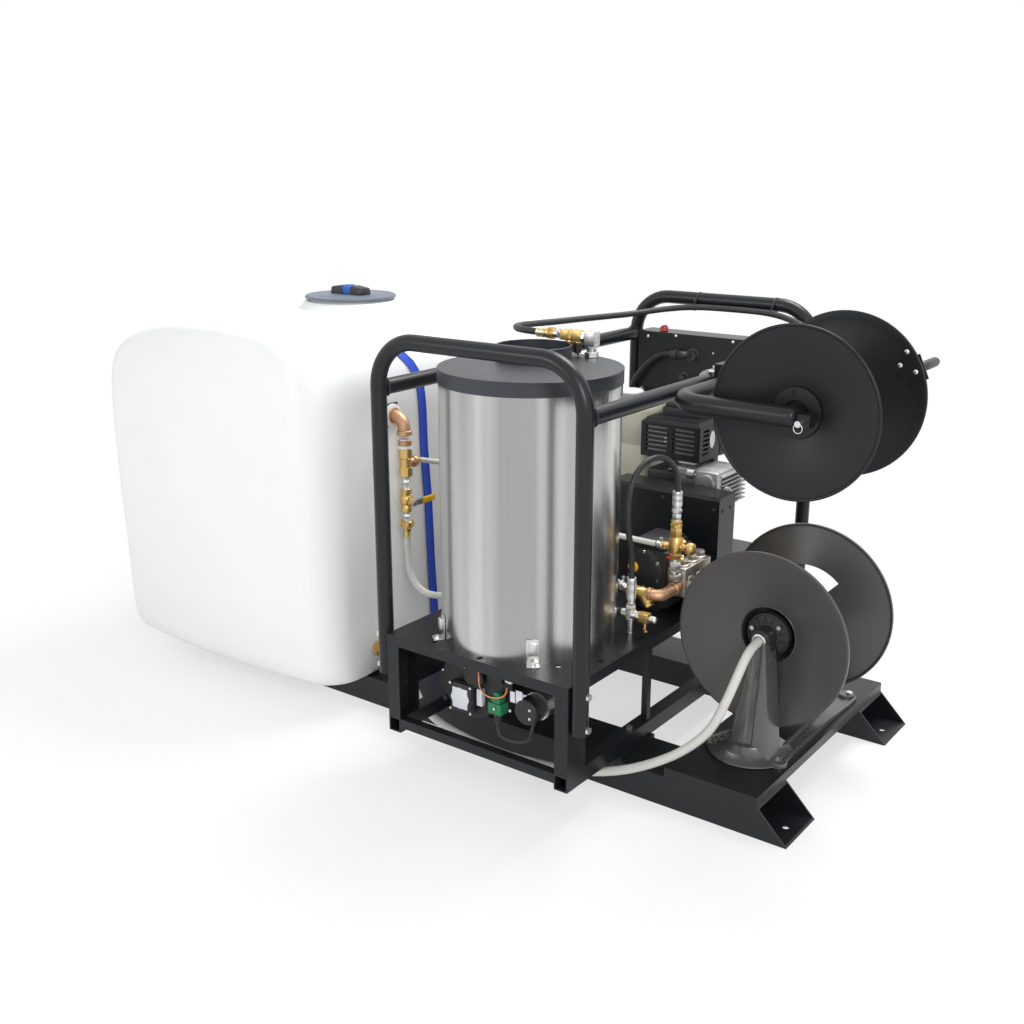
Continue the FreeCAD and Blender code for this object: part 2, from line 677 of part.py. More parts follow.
motor_bore = rod("motor_bore", blower_x, head_y + 99, blower_z, as_size(8.0) + fit_gap, as_size(70.0), "Y")
keep(cut("burner_motor", motor_body, motor_bore))
pump_body = rod("fuel_pump_body", as_size(455.0), head_y, as_size(250.0), as_size(38.0), as_size(90.0), "Y")
pump_flange = box("fuel_pump_flange", blower_x + 140, head_y + 10, as_size(235.0), as_size(60.0),
                  as_size(60.0),
                  as_size(30.0))
keep(fuse("burner_fuel_pump", pump_body, pump_flange))
igniter = box("igniter_block", as_size(320.0), head_y - 40, as_size(205.0), as_size(48.0), as_size(39.7),
              as_size(34.0))
igniter_boot = rod("igniter_boot", as_size(344.0), head_y - 20, as_size(239.0), as_size(12.0), as_size(30.0))
keep(fuse("ignition_block", igniter, igniter_boot))

# Water tank: hollow, wide in the middle, domed, with a filling mouth under its lid
tank_rear = size("tank_rear", -1192.6)
tank_front = size("tank_front", -255)
tank_half = size("tank_half_width", 636)
tank_wall = size("tank_wall", 7)
tank_mid = (tank_rear + tank_front) / 2
tank_half_long = (tank_front - tank_rear) / 2
tank_top = size("tank_top", 1156)
mouth_radius = size("mouth_radius", 130)


def tank_section(half_long, half_wide, rear, front, bulge, shift):
    """Plan of the tank: bulging long sides, tight rear corners and wide front corners."""
    start = shift - half_long
    end = shift + half_long
    side = half_wide - bulge
    chord = half_long * 2 - rear - front
    arc = (chord * chord / 4 + bulge * bulge) / (bulge * 2)
    middle = (start + rear + end - front) / 2
    lean_rear = rear * (1 - math.sqrt(0.5))
    lean_front = front * (1 - math.sqrt(0.5))
    low = side * -1
    return [
        (start + rear, low, arc, middle, half_wide * -1), (end - front, low, front, end - lean_front,
                                                           low + lean_front),
        (end, low + front), (end, side - front, front, end - lean_front, side - lean_front),
        (end - front, side, arc, middle, half_wide), (start + rear, side, rear, start + lean_rear,
                                                      side - lean_rear),
        (start, side - rear), (start, low + rear, rear, start + lean_rear, low + lean_rear),
    ]


def tank_body(label, shrink):
    body = new_body(label)
    sections = []
    # Each level: height, how far its ends and sides stand in, corner radii, bulge and shift
    levels = (
        (rail_tall + shrink, 44, 60, 50, 100, 24, 0), (rail_tall + 18, 16, 32, 60, 110, 22, 0),
        (rail_tall + 60, 3, 14, 60, 110, 18, 0), (rail_tall + 300, 0, 4, 60, 110, 16, 0),
        (rail_tall + 713, 0, -4, 60, 110, 12, 0), (rail_tall + 847 - shrink, 0, 8, 60, 110, 12, 0),
        (rail_tall + 895 - shrink, 6, 24, 70, 110, 12, 0), (rail_tall + 940 - shrink, 34, 66, 90, 120, 12, 0),
        (rail_tall + 968 - shrink, 84, 130, 110, 130, 12, 0),
        (tank_top - 26 - shrink, 291, 440, 140, 140, 8, 24),
    )
    for number, (level, end_in, side_in, rear, front, bulge, shift) in enumerate(levels):
        sketch = new_sketch(body, label + "_level_" + str(number), "XY_Plane", level)
        half_long = tank_half_long - end_in - shrink
        half_wide = tank_half - side_in - shrink
        outline(sketch, tank_section(half_long, half_wide, as_size(float(rear)), as_size(float(front)),
                                     as_size(float(bulge)), as_size(float(shift))))
        sections.append(sketch)
    loft = body.newObject("PartDesign::AdditiveLoft", label + "_loft")
    loft.Profile = sections[0]
    loft.Sections = sections[1:]
    loft.Ruled = True
    return put(body, tank_mid, as_size(0.0), as_size(0.0))


tank_outer = tank_body("tank_outer", as_size(0.0))
tank_inner = tank_body("tank_inner", tank_wall)
lid_x = size("tank_lid_x", -700)
collar_radius = size("tank_collar_radius", 165)
neck_ring = turned("tank_neck", [
    (mouth_radius - 12, as_size(0.0)), (collar_radius, as_size(0.0)), (collar_radius - 17, as_size(30.0)),
    (mouth_radius, as_size(30.0)), (mouth_radius, as_size(40.0)), (mouth_radius - 12, as_size(40.0))],
    lid_x, as_size(0.0), tank_top - 30)
neck_bore = rod("tank_neck_bore", lid_x, as_size(0.0), tank_top - 60, mouth_radius - 12, as_size(80.0))
outlet_level = size("tank_outlet_level", 883)
outlet_side = size("tank_outlet_side", -312)
tank_outlet_hole = rod("tank_outlet_hole", tank_front - 60, outlet_side, outlet_level, as_size(16.0),
                       as_size(80.0), "X")
keep(cut("water_tank", fuse("tank_moulding", tank_outer, neck_ring), tank_inner, neck_bore, tank_outlet_hole))

tank_lid_radius = size("tank_lid_radius", 148)
lid_plate = rod("tank_lid_plate", lid_x, as_size(0.0), tank_top + 10, tank_lid_radius, as_size(10.0))
lid_plug = rod("tank_lid_plug", lid_x, as_size(0.0), tank_top - 8, mouth_radius - 12.5, as_size(20.0))
lid_handle_a = box("tank_lid_handle_a", lid_x - 20, as_size(-80.0), tank_top + 20, as_size(40.0),
                   as_size(56.0), as_size(26.0))
lid_handle_b = box("tank_lid_handle_b", lid_x - 20, as_size(24.0), tank_top + 20, as_size(40.0),
                   as_size(56.0), as_size(26.0))
keep(fuse("tank_lid", lid_plate, lid_plug, lid_handle_a, lid_handle_b))
keep(box("tank_lid_latch", lid_x - 15, as_size(-23.7), tank_top + 20.3, as_size(30.0), as_size(47.4),
         as_size(32.0)))

strap_wide = size("strap_wide", 28)
tank_strap = box("tank_strap", 0, 0, 0, 3, strap_wide, 800)
keep(put(tank_strap, tank_front + seat_gap, as_size(-148.0), as_size(128.0),
         tilt=Rotation(Vector(1, 0, 0), 4.8)))

# Tank outlet: bulkhead, elbow, tee, ball valve and hose tail, all down the front face
pipe_x = size("tank_pipe_x", -200)
pipe_y = size("tank_pipe_y", -312)
bulk = hexagon("bulkhead_nut", tank_front + 0.3, outlet_side, outlet_level, as_size(36.0), as_size(16.0), "X")
bulk_pipe = rod("bulkhead_pipe", tank_front - 20, outlet_side, outlet_level, as_size(15.9),
                pipe_x - tank_front + 20, "X")
elbow_ball = add("Part::Sphere", "elbow_ball")
bind(elbow_ball, "Radius", as_size(22.0))
put(elbow_ball, pipe_x, pipe_y, outlet_level)
drop = rod("tank_drop_pipe", pipe_x, pipe_y, outlet_level, as_size(15.0), outlet_level - 665, "-Z")
tee_body = hexagon("tank_tee", pipe_x, pipe_y, as_size(780.0), as_size(24.0), as_size(70.0), "-Z")
tee_barb = rod("tank_tee_barb", pipe_x, pipe_y, as_size(745.0), as_size(11.0), as_size(60.0), "Y")
fill_nut = hexagon("fill_nut", tank_front + seat_gap, as_size(-400.0), as_size(180.0), as_size(24.0),
                   as_size(14.0), "X")
fill_tail = rod("fill_tail", tank_front + 14, as_size(-400.0), as_size(180.0), as_size(12.0), as_size(30.0),
                "X")
keep(group("tank_outlet_fittings", fuse("outlet_run", bulk, bulk_pipe, elbow_ball, drop, tee_body, tee_barb),
           fuse("fill_tail_piece", fill_nut, fill_tail)))
valve_high = size("valve_high", 630)
valve_body = rod("valve_body", pipe_x, pipe_y, valve_high + 35, as_size(22.0), as_size(70.0), "-Z")
valve_nut = hexagon("valve_nut", pipe_x, pipe_y, valve_high - 35, as_size(24.0), as_size(34.0), "-Z")
valve_tail = rod("valve_tail", pipe_x, pipe_y, valve_high - 69, as_size(13.0), as_size(40.0), "-Z")
valve_boss = rod("valve_boss", pipe_x + 15, pipe_y, valve_high, as_size(12.0), as_size(17.0), "X")
valve_stem_hole = rod("valve_stem_hole", pipe_x + 16, pipe_y, valve_high, as_size(5.0) + fit_gap,
                      as_size(30.0), "X")
keep(cut("ball_valve", fuse("valve_casting", valve_body, valve_nut, valve_tail, valve_boss), valve_stem_hole))
lever_stem = rod("lever_stem", pipe_x + 17, pipe_y, valve_high, as_size(5.0), as_size(19.0), "X")
lever_plate = box("lever_plate", pipe_x + 32.3, pipe_y - 9, valve_high - 10, as_size(3.0), as_size(18.0),
                  as_size(20.0))
lever_arm = box("lever_arm", pipe_x + 32.3, pipe_y, valve_high - 7, as_size(4.0), as_size(90.0),
                as_size(14.0))
keep(fuse("valve_lever", lever_stem, lever_plate, lever_arm))

# Pump set on the bed: belt guard with belts and pulleys inside, crankcase, manifold and valves
guard_start = size("guard_start", 250)
guard_near = size("guard_near", 100)
guard_far = size("guard_far", 197)
guard_top = size("guard_top", 680)
guard_wall = size("guard_wall", 3)
shaft_radius = size("shaft_radius", 12.5)
pump_x = size("pump_x", 500)
pump_z = size("pump_z", 500)
engine_x = size("engine_x", 360)
engine_z = size("engine_z", 560)
guard_outer = box("guard_outer", guard_start, guard_near, bed_top, bed_end - guard_start - 3,
                  guard_far - guard_near,
                  guard_top - bed_top)
guard_inner = box("guard_inner", guard_start + guard_wall, guard_near + guard_wall, bed_top,
                  bed_end - guard_start - 3 - guard_wall * 2, guard_far - guard_near - guard_wall * 2,
                  guard_top - bed_top - guard_wall)
guard_hole_pump = rod("guard_hole_pump", pump_x, guard_near - 5, pump_z, shaft_radius + 6, as_size(20.0), "Y")
guard_hole_engine = rod("guard_hole_engine", engine_x, guard_far - 10, engine_z, shaft_radius + 6,
                        as_size(20.0), "Y")
guard_slope = box("guard_slope", guard_start - 10, guard_near, guard_top - 9, bed_end - guard_start + 20, as_size(30.0),
                  as_size(30.0))
guard_slope.Placement.Rotation = Rotation(Vector(1, 0, 0), 45)
guard_slope_in = box("guard_slope_inside", guard_start - 10, guard_near, guard_top - 13.2, bed_end - guard_start + 20,
                     as_size(30.0), as_size(30.0))
guard_slope_in.Placement.Rotation = Rotation(Vector(1, 0, 0), 45)
keep(cut("belt_guard", cut("guard_blank", guard_outer, guard_slope), cut("guard_space", guard_inner, guard_slope_in),
         guard_hole_pump, guard_hole_engine))

pulley_start = guard_near + 28
pulley_wide = size("pulley_wide", 40)
pump_pulley_radius = size("pump_pulley_radius", 85)
engine_pulley_radius = size("engine_pulley_radius", 42)
belt_deep = size("belt_deep", 8)


def pulley(label, x, z, radius, shaft_from, shaft_to):
    wheel = rod(label + "_wheel", x, pulley_start, z, radius, pulley_wide, "Y")
    groove_outer = rod(label + "_groove_outer", x, pulley_start + 4, z, radius + 5, pulley_wide - 8, "Y")
    groove_inner = rod(label + "_groove_inner", x, pulley_start + 4, z, radius - belt_deep, pulley_wide - 8,
                       "Y")
    shaft = rod(label + "_shaft", x, shaft_from, z, shaft_radius, shaft_to - shaft_from, "Y")
    rim = cut(label + "_rim", wheel, cut(label + "_groove", groove_outer, groove_inner))
    return keep(fuse(label, rim, shaft))


pulley("pump_pulley", pump_x, pump_z, pump_pulley_radius, as_size(-60.0), pulley_start + pulley_wide + 8)
pulley("drive_pulley", engine_x, engine_z, engine_pulley_radius, pulley_start - 8, as_size(300.0))
belt_way = math.atan2(engine_z.number - pump_z.number, engine_x.number - pump_x.number)
belt_gap = math.hypot(engine_z.number - pump_z.number, engine_x.number - pump_x.number)
belt_lean = math.acos((pump_pulley_radius.number - engine_pulley_radius.number) / belt_gap)
belt_back = belt_way + math.pi


def belt_line(grow):
    """Corners of one belt line: round the pump pulley, across to the drive pulley and back."""
    large = pump_pulley_radius - belt_deep + grow
    small = engine_pulley_radius - belt_deep + grow
    high = (math.cos(belt_way + belt_lean), math.sin(belt_way + belt_lean))
    low = (math.cos(belt_way - belt_lean), math.sin(belt_way - belt_lean))
    back = (math.cos(belt_back), math.sin(belt_back))
    return [
        (pump_x + large * high[0], pump_z + large * high[1], large, pump_x + large * back[0],
         pump_z + large * back[1]),
        (pump_x + large * low[0], pump_z + large * low[1]),
        (engine_x + small * low[0], engine_z + small * low[1], small, engine_x - small * back[0],
         engine_z - small * back[1]),
        (engine_x + small * high[0], engine_z + small * high[1]),
    ]


belt_set = []
for number in range(2):
    belt = new_body("drive_belt_" + str(number))
    belt_sketch = new_sketch(belt, "belt_line_" + str(number), "XZ_Plane")
    outline(belt_sketch, belt_line(as_size(7.0)))
    outline(belt_sketch, belt_line(seat_gap))
    pad(belt, "belt_pad_" + str(number), belt_sketch, as_size(12.0))
    belt_set.append(put(belt, as_size(0.0), pulley_start + 18 + 15 * number, as_size(0.0)))
keep(group("drive_belts", *belt_set))
case_near = size("case_near", -98)
case_far = size("case_far", 60)
case_box = box("pump_case_box", pump_x - 65, case_near, pump_z - 85, as_size(125.0), case_far - case_near,
               as_size(150.0))
case_feet = box("pump_case_feet", pump_x - 75, case_near + 10, bed_top, as_size(110.0), as_size(130.0),
                as_size(40.0))
case_snout = rod("pump_snout", pump_x, case_far, pump_z, as_size(45.0), guard_near - case_far, "Y")
case_bore = rod("pump_bore", pump_x, as_size(-61.0), pump_z, shaft_radius + fit_gap, as_size(200.0), "Y")
case_cap_a = box("pump_top_cover", pump_x - 55, case_near + 12, pump_z + 65, as_size(100.0), as_size(120.0),
                 as_size(18.0))
keep(cut("pump_crankcase", fuse("pump_case", case_box, case_feet, case_snout, case_cap_a), case_bore))
oil_cap_body = rod("oil_cap_body", pump_x - 40, case_near - seat_gap, pump_z + 5, as_size(15.0),
                   as_size(14.0), "-Y")
keep(oil_cap_body)
oil_cap_body.Label = "oil_cap"
manifold_start = pump_x + 60
manifold_near = case_near + 4
manifold_body = box("manifold_body", manifold_start, manifold_near, pump_z - 60, as_size(62.0),
                    case_far - case_near - 8, as_size(92.0))
caps = []
for number in range(3):
    y = manifold_near + 28 + 47 * number
    caps.append(hexagon("valve_cap_top_" + str(number), manifold_start + 34, y, pump_z + 32, as_size(15.0),
                        as_size(16.0)))
    caps.append(hexagon("valve_cap_front_" + str(number), manifold_start + 62, y, pump_z - 30,
                        as_size(15.0), as_size(14.0), "X"))
keep(fuse("pump_manifold", manifold_body, *caps))
unloader_x = size("unloader_x", 596)
unloader_y = size("unloader_y", -96)
unloader_z = pump_z + 40
column = rod("unloader_column", unloader_x, manifold_near - 22, pump_z + 14, as_size(12.0), as_size(22.0),
             "Y")
column_stem = rod("unloader_stem", unloader_x, manifold_near - 22, pump_z - 5, as_size(14.0), as_size(68.0))
column_body = hexagon("unloader_body", unloader_x, manifold_near - 22, unloader_z + 20, as_size(20.0),
                      as_size(62.0))
column_top = hexagon("unloader_top", unloader_x, manifold_near - 22, unloader_z + 82, as_size(17.0),
                     as_size(48.0))
column_barb = rod("unloader_barb", unloader_x, manifold_near - 22, unloader_z + 50, as_size(9.0),
                  as_size(60.0), "-X")
column_knob_neck = rod("unloader_neck", unloader_x, manifold_near - 22, unloader_z + 55, as_size(9.0),
                       as_size(34.0), "X")
ferrule = rod("unloader_ferrule", unloader_x, manifold_near - 22, unloader_z + 130, as_size(14.0),
              as_size(80.0))
keep(fuse("unloader_valve", column, column_stem, column_body, column_top, column_barb, column_knob_neck,
          ferrule))
keep(rod("unloader_knob", unloader_x + 34.3, manifold_near - 22, unloader_z + 55, as_size(17.0),
         as_size(22.0), "X"))

row_y = size("strainer_row_y", -195)
row_z = size("strainer_row_z", 472)
strain = rod("strainer_body", as_size(520.0), row_y, row_z, as_size(17.0), as_size(62.0), "X")
strain_bowl = rod("strainer_bowl", as_size(552.0), row_y - 4, row_z - 6, as_size(14.0), as_size(44.0), "Z",
                  Rotation(Vector(0, 1, 0), 135))
strain_nut = hexagon("strainer_nut", as_size(500.0), row_y, row_z, as_size(19.0), as_size(22.0), "X")
strain_barb = rod("strainer_barb", as_size(500.0), row_y, row_z, as_size(9.0), as_size(34.0),
                  tilt=Rotation(Vector(0, 0, 1), Vector(-0.8660254, 0.5, 0)))
barb_root = add("Part::Sphere", "strainer_barb_root")
bind(barb_root, "Radius", as_size(9.0))
put(barb_root, as_size(500.0), row_y, row_z)
bend_ball = add("Part::Sphere", "strainer_elbow")
bind(bend_ball, "Radius", as_size(19.0))
put(bend_ball, as_size(596.0), row_y, row_z)
bend_run = rod("strainer_run", as_size(578.0), row_y, row_z, as_size(17.0), as_size(18.0), "X")
bend_out = rod("strainer_outlet", as_size(596.0), row_y, row_z, as_size(17.0),
               manifold_near - row_y - seat_gap, "Y")
keep(fuse("inlet_strainer", strain, strain_bowl, strain_nut, strain_barb, barb_root, bend_ball, bend_run,
          bend_out))
tee_x = size("pressure_tee_x", 548)
tee_y = size("pressure_tee_y", -262)
tee_z = size("pressure_tee_z", 432)
tee_ball = add("Part::Sphere", "pressure_tee_ball")
bind(tee_ball, "Radius", as_size(15.0))
put(tee_ball, tee_x, tee_y, tee_z)
tee_left = rod("pressure_tee_left", tee_x, tee_y, tee_z, as_size(11.0), as_size(28.0), "-X")
tee_right = rod("pressure_tee_right", tee_x, tee_y, tee_z, as_size(11.0), as_size(30.0), "X")
tee_up = hexagon("pressure_tee_up", tee_x, tee_y, tee_z, as_size(14.0), as_size(34.0))
tee_ferrule = rod("pressure_tee_ferrule", tee_x, tee_y, tee_z + 34, as_size(13.0), as_size(70.0))
relief = box("relief_valve", tee_x + 28, tee_y - 13, tee_z - 13, as_size(34.0), as_size(26.0), as_size(26.0))
relief_pin = rod("relief_pin", tee_x + 45, tee_y, tee_z - 13, as_size(4.0), as_size(24.0), "-Z")
relief_tip = rod("relief_tip", tee_x + 62, tee_y, tee_z, as_size(9.0), as_size(18.0), "X")
tee_bracket = box("tee_bracket", tee_x - 8, tee_y - 8, bed_top, as_size(16.0), as_size(16.0),
                  tee_z - bed_top - 4)
keep(fuse("pressure_outlet_tee", tee_ball, tee_left, tee_right, tee_up, tee_ferrule, relief, relief_pin,
          relief_tip,
          tee_bracket))

# Engine behind the guard
engine_low = bed_top
crank_near = size("crank_near", 215)
crank_far = size("crank_far", 390)
engine_case = box("engine_case", engine_x - 95, crank_near, engine_low, as_size(260.0),
                  crank_far - crank_near, as_size(250.0))
engine_snout = rod("engine_snout", engine_x, guard_far + seat_gap, engine_z, as_size(40.0),
                   crank_near - guard_far, "Y")
engine_barrel = box("engine_barrel", engine_x + 20, crank_near + 20, engine_low + 230, as_size(165.0),
                    as_size(150.0),
                    as_size(110.0))
engine_bore = rod("engine_bore", engine_x, guard_far - 5, engine_z, shaft_radius + fit_gap, as_size(130.0),
                  "Y")
fins = []
for number in range(7):
    fins.append(box("engine_fin_" + str(number), engine_x + 10, crank_near + 10,
                    engine_low + 245 + 13 * number,
                    as_size(185.0), crank_far - crank_near - 12, as_size(4.0)))
keep(cut("engine_block", fuse("engine_casting", engine_case, engine_snout, engine_barrel, *fins),
         engine_bore))
muffler_x = size("muffler_x", 272)
muffler_near = size("muffler_near", 258)
muffler_can = box("muffler_can", muffler_x, muffler_near, bed_top + 359, as_size(180.0), as_size(110.0),
                  as_size(95.0))
muffler_foot = box("muffler_foot", muffler_x + 115, muffler_near + 10, bed_top + 340, as_size(55.0),
                   as_size(90.0), as_size(25.0))
muffler_lug = box("muffler_lug", muffler_x + 70, muffler_near - 5, bed_top + 401, as_size(16.0),
                  as_size(120.0), as_size(14.0))
keep(fuse("muffler", muffler_can, muffler_foot, muffler_lug))
cover_outer = box("muffler_guard_outer", muffler_x - 8, muffler_near - 8, bed_top + 350.5, as_size(198.0),
                  as_size(126.0), as_size(118.0))
cover_inner = box("muffler_guard_inner", muffler_x - 5, muffler_near - 5, bed_top + 341, as_size(192.0),
                  as_size(120.0), as_size(124.0))
slots = []
for column_number in range(2):
    for row_number in range(6):
        slots.append(box("guard_slot_" + str(column_number) + "_" + str(row_number),
                         muffler_x + 8 + 88 * column_number, muffler_near - 12, bed_top + 366 + 14 * row_number,
                         as_size(74.0), as_size(8.0), as_size(6.0)))
keep(cut("muffler_guard", cover_outer, cover_inner, *slots))
recoil = rod("recoil_shell", engine_x + 20, crank_far + seat_gap, engine_z - 20, as_size(105.0),
             as_size(70.0), "Y")
recoil_hole = rod("recoil_grip_hole", engine_x + 20, crank_far + 40, engine_z + 60, as_size(6.5),
                  as_size(60.0))
keep(cut("recoil_starter", recoil, recoil_hole))
grip_bar = box("recoil_grip_bar", engine_x - 5, crank_far + 33, engine_z + 85.3, as_size(50.0),
               as_size(15.0), as_size(16.0))
grip_stem = rod("recoil_grip_stem", engine_x + 20, crank_far + 40, engine_z + 70, as_size(4.0), as_size(20.0))
keep(fuse("recoil_grip", grip_bar, grip_stem))
fuel_x = size("fuel_x", 60)
fuel_inset = size("fuel_inset", 327)
fuel_y = bed_half - fuel_inset
fuel_outer = box("fuel_tank_outer", fuel_x, fuel_y, bed_top, as_size(180.0), as_size(220.0), as_size(470.0))
fuel_edges = add("Part::Fillet", "fuel_tank_rounded")
fuel_edges.Base = fuel_outer
fuel_edges.Edges = [(number, 22.0, 22.0) for number in (1, 3, 5, 7, 4, 8, 10, 12)]
fuel_inner = box("fuel_tank_inner", fuel_x + 10, fuel_y + 10, bed_top + 10, as_size(160.0), as_size(200.0),
                 as_size(450.0))
fuel_neck = rod("fuel_neck", fuel_x + 70, fuel_y + 70, bed_top + 465, as_size(34.0), as_size(25.0))
fuel_mouth = rod("fuel_mouth", fuel_x + 70, fuel_y + 70, bed_top + 450, as_size(28.0), as_size(60.0))
keep(cut("fuel_tank", fuse("fuel_moulding", fuel_edges, fuel_neck), fuel_inner, fuel_mouth))
cap_disc = rod("fuel_cap_disc", fuel_x + 70, fuel_y + 70, bed_top + 490, as_size(42.0), as_size(26.0))
cap_plug = rod("fuel_cap_plug", fuel_x + 70, fuel_y + 70, bed_top + 470, as_size(27.7), as_size(21.0))
keep(fuse("fuel_cap", cap_disc, cap_plug))

# Control box hung inside the far hoop
box_start = size("box_start", 60)
box_end = size("box_end", 470)
box_deep = size("box_depth", 76)
box_near = hoop_y - box_deep
box_low = size("box_low", 845)
box_high = size("box_high", 1060)
control_outer = box("control_outer", box_start, box_near, box_low, box_end - box_start,
                    hoop_y - box_near + 10, box_high - box_low)
control_inner = box("control_inner", box_start + 3, box_near + 3, box_low + 3, box_end - box_start - 6,
                    hoop_y - box_near + 4, box_high - box_low - 6)
hanger_from = rear_hoop_x + hoop_radius
hanger_a = box("hanger_rear", hanger_from, hoop_y - 3, box_high - 120, box_start - hanger_from + 2,
               as_size(6.0), as_size(60.0))
boot_x = size("boot_x", 230)
boot_z = size("boot_z", 997)
boot_stub = rod("boot_stub", boot_x, box_near + 1, boot_z, as_size(14.0), as_size(26.0), "-Y")
boot_ball = add("Part::Sphere", "boot_ball")
bind(boot_ball, "Radius", as_size(14.0))
put(boot_ball, boot_x, box_near - 25, boot_z)
boot_arm = rod("boot_arm", boot_x, box_near - 25, boot_z, as_size(12.0), as_size(28.0), "-X")
keep(fuse("control_box", cut("control_shell", control_outer, control_inner), hanger_a, boot_stub, boot_ball,
          boot_arm))
keep(rod("selector_knob", box_start + 74, hoop_y - 40, box_high + seat_gap, as_size(14.0), as_size(18.0)))

# Pressure hose reel: bent tube yoke clamped to the front crossbar, spindle, drum and crank
reel_x = size("pressure_reel_x", 984)
reel_z = size("pressure_reel_z", 1037)
reel_near = size("pressure_reel_near", -294)
reel_far = size("pressure_reel_far", 16)
reel_radius = size("pressure_reel_radius", 208.6)
drum_radius = size("pressure_drum_radius", 62)
dish_deep = size("pressure_dish", 24)
spindle_radius = size("spindle_radius", 12)
flange_thick = size("flange_thick", 2.5)
yoke_radius = size("yoke_radius", 24)
yoke_front = size("yoke_front_y", -325)
reel_wide = reel_far - reel_near


def reel_corners(wide, radius, drum, deep, bore, lip):
    return [
        (bore, deep), (drum, deep), (radius - 4, as_size(0.0)), (radius, as_size(0.0)), (radius, lip),
        (radius - 4, lip), (radius - 4, flange_thick), (drum, deep + flange_thick),
        (drum, wide - deep - flange_thick), (radius - 4, wide - flange_thick), (radius - 4, wide - lip),
        (radius, wide - lip), (radius, wide), (radius - 4, wide), (drum, wide - deep), (bore, wide - deep),
        (bore, wide - deep - 4), (drum - 3, wide - deep - 4), (drum - 3, deep + 4), (bore, deep + 4),
    ]


crank_r = size("crank_reach", 177)
crank_turn = 24.8
crank_dx = math.cos(math.radians(crank_turn))
crank_dz = math.sin(math.radians(crank_turn))
reel_body = turned("pressure_reel_blank", reel_corners(reel_wide, reel_radius, drum_radius, dish_deep,
                   spindle_radius + fit_gap, as_size(8.0)), reel_x, reel_near, reel_z, "Y")
screw_spots = ((150.0, 25.0), (178.0, 33.0), (181.0, 16.0))
screw_holes = []
for number, (reach, angle) in enumerate(screw_spots):
    screw_holes.append(rod("crank_screw_hole_" + str(number), reel_x + reach * math.cos(math.radians(angle)),
                           reel_far - 30, reel_z + reach * math.sin(math.radians(angle)), as_size(3.3), as_size(40.0), "Y"))

disc = rod("lock_disc_blank", reel_x, reel_near + dish_deep - 4, reel_z, drum_radius - 1, as_size(4.0), "Y")
disc_bore = rod("lock_disc_bore", reel_x, reel_near, reel_z, spindle_radius + fit_gap, as_size(60.0), "Y")
lock_reach = size("lock_reach", 42)
lock_slots = []
for number in range(4):
    angle = -10.0 + 90.0 * number
    lock_slots.append(rod("lock_slot_" + str(number), reel_x + 42 * math.cos(math.radians(angle)), reel_near,
                          reel_z + 42 * math.sin(math.radians(angle)), as_size(8.0), as_size(40.0), "Y"))
keep(cut("pressure_reel", fuse("pressure_reel_weldment", reel_body, disc), disc_bore, *lock_slots,
         *screw_holes))

yoke_corner = size("yoke_corner_x", 688.3)
yoke_bend = size("yoke_bend", 75)
yoke_back = size("yoke_back_y", 10)
yoke_tube = new_body("yoke_tube")
yoke_route = new_sketch(yoke_tube, "yoke_route", "XY_Plane", reel_z)
yoke_lean = yoke_bend * (1 - math.sqrt(0.5))
outline(yoke_route, [
    (reel_x + 10, yoke_front), (yoke_corner + yoke_bend, yoke_front, yoke_bend, yoke_corner + yoke_lean,
                                yoke_front + yoke_lean),
    (yoke_corner, yoke_front + yoke_bend), (yoke_corner, yoke_back)], False)
yoke_section = new_sketch(yoke_tube, "yoke_section", "YZ_Plane", reel_x + 10)
circle(yoke_section, yoke_front, reel_z, yoke_radius)
yoke_sweep = yoke_tube.newObject("PartDesign::AdditivePipe", "yoke_sweep")
yoke_sweep.Profile = yoke_section
yoke_sweep.Spine = (yoke_route, ["Edge1", "Edge2", "Edge3"])
yoke_plate = box("yoke_plate", front_hoop_x + hoop_radius, as_size(-60.0), crossbar_high - 50,
                 yoke_corner - front_hoop_x - hoop_radius,
                 as_size(70.0), as_size(100.0))
spindle = rod("reel_spindle", reel_x, yoke_front, reel_z, spindle_radius,
              reel_far - yoke_front - dish_deep + 12, "Y")
swivel_nut = hexagon("swivel_nut", reel_x, reel_far - dish_deep + 11, reel_z, as_size(16.0), as_size(24.0),
                     "Y")
swivel_tail = rod("swivel_tail", reel_x, reel_far - dish_deep + 30, reel_z, as_size(9.5), as_size(38.3), "Y")
boss = rod("yoke_boss", reel_x, yoke_front, reel_z, as_size(22.0), reel_near + dish_deep - 5 - yoke_front,
           "Y")
pin_boss = box("pin_boss", reel_x, yoke_front - 4, reel_z - 22, as_size(56.0), as_size(32.0), as_size(30.0))
pin_hole = rod("pin_hole", reel_x + 42 * math.cos(math.radians(-10)), yoke_front - 40,
               reel_z + 42 * math.sin(math.radians(-10)),
               as_size(5.0) + fit_gap, as_size(90.0), "Y")
clamp_holes = []
clamp_set = []
for side_name, z in (("top", crossbar_high + hoop_radius + 5), ("low", crossbar_high - hoop_radius - 5)):
    for spot, y in (("near", as_size(-45.0)), ("far", as_size(-5.0))):
        clamp_holes.append(rod("clamp_hole_" + side_name + "_" + spot, front_hoop_x - 30, y, z,
                               bolt_radius + seat_gap,
                               as_size(140.0), "X"))
keep(cut("reel_yoke", fuse("yoke_weldment", yoke_tube, yoke_plate, spindle, swivel_nut, swivel_tail, boss, pin_boss), pin_hole, *clamp_holes))
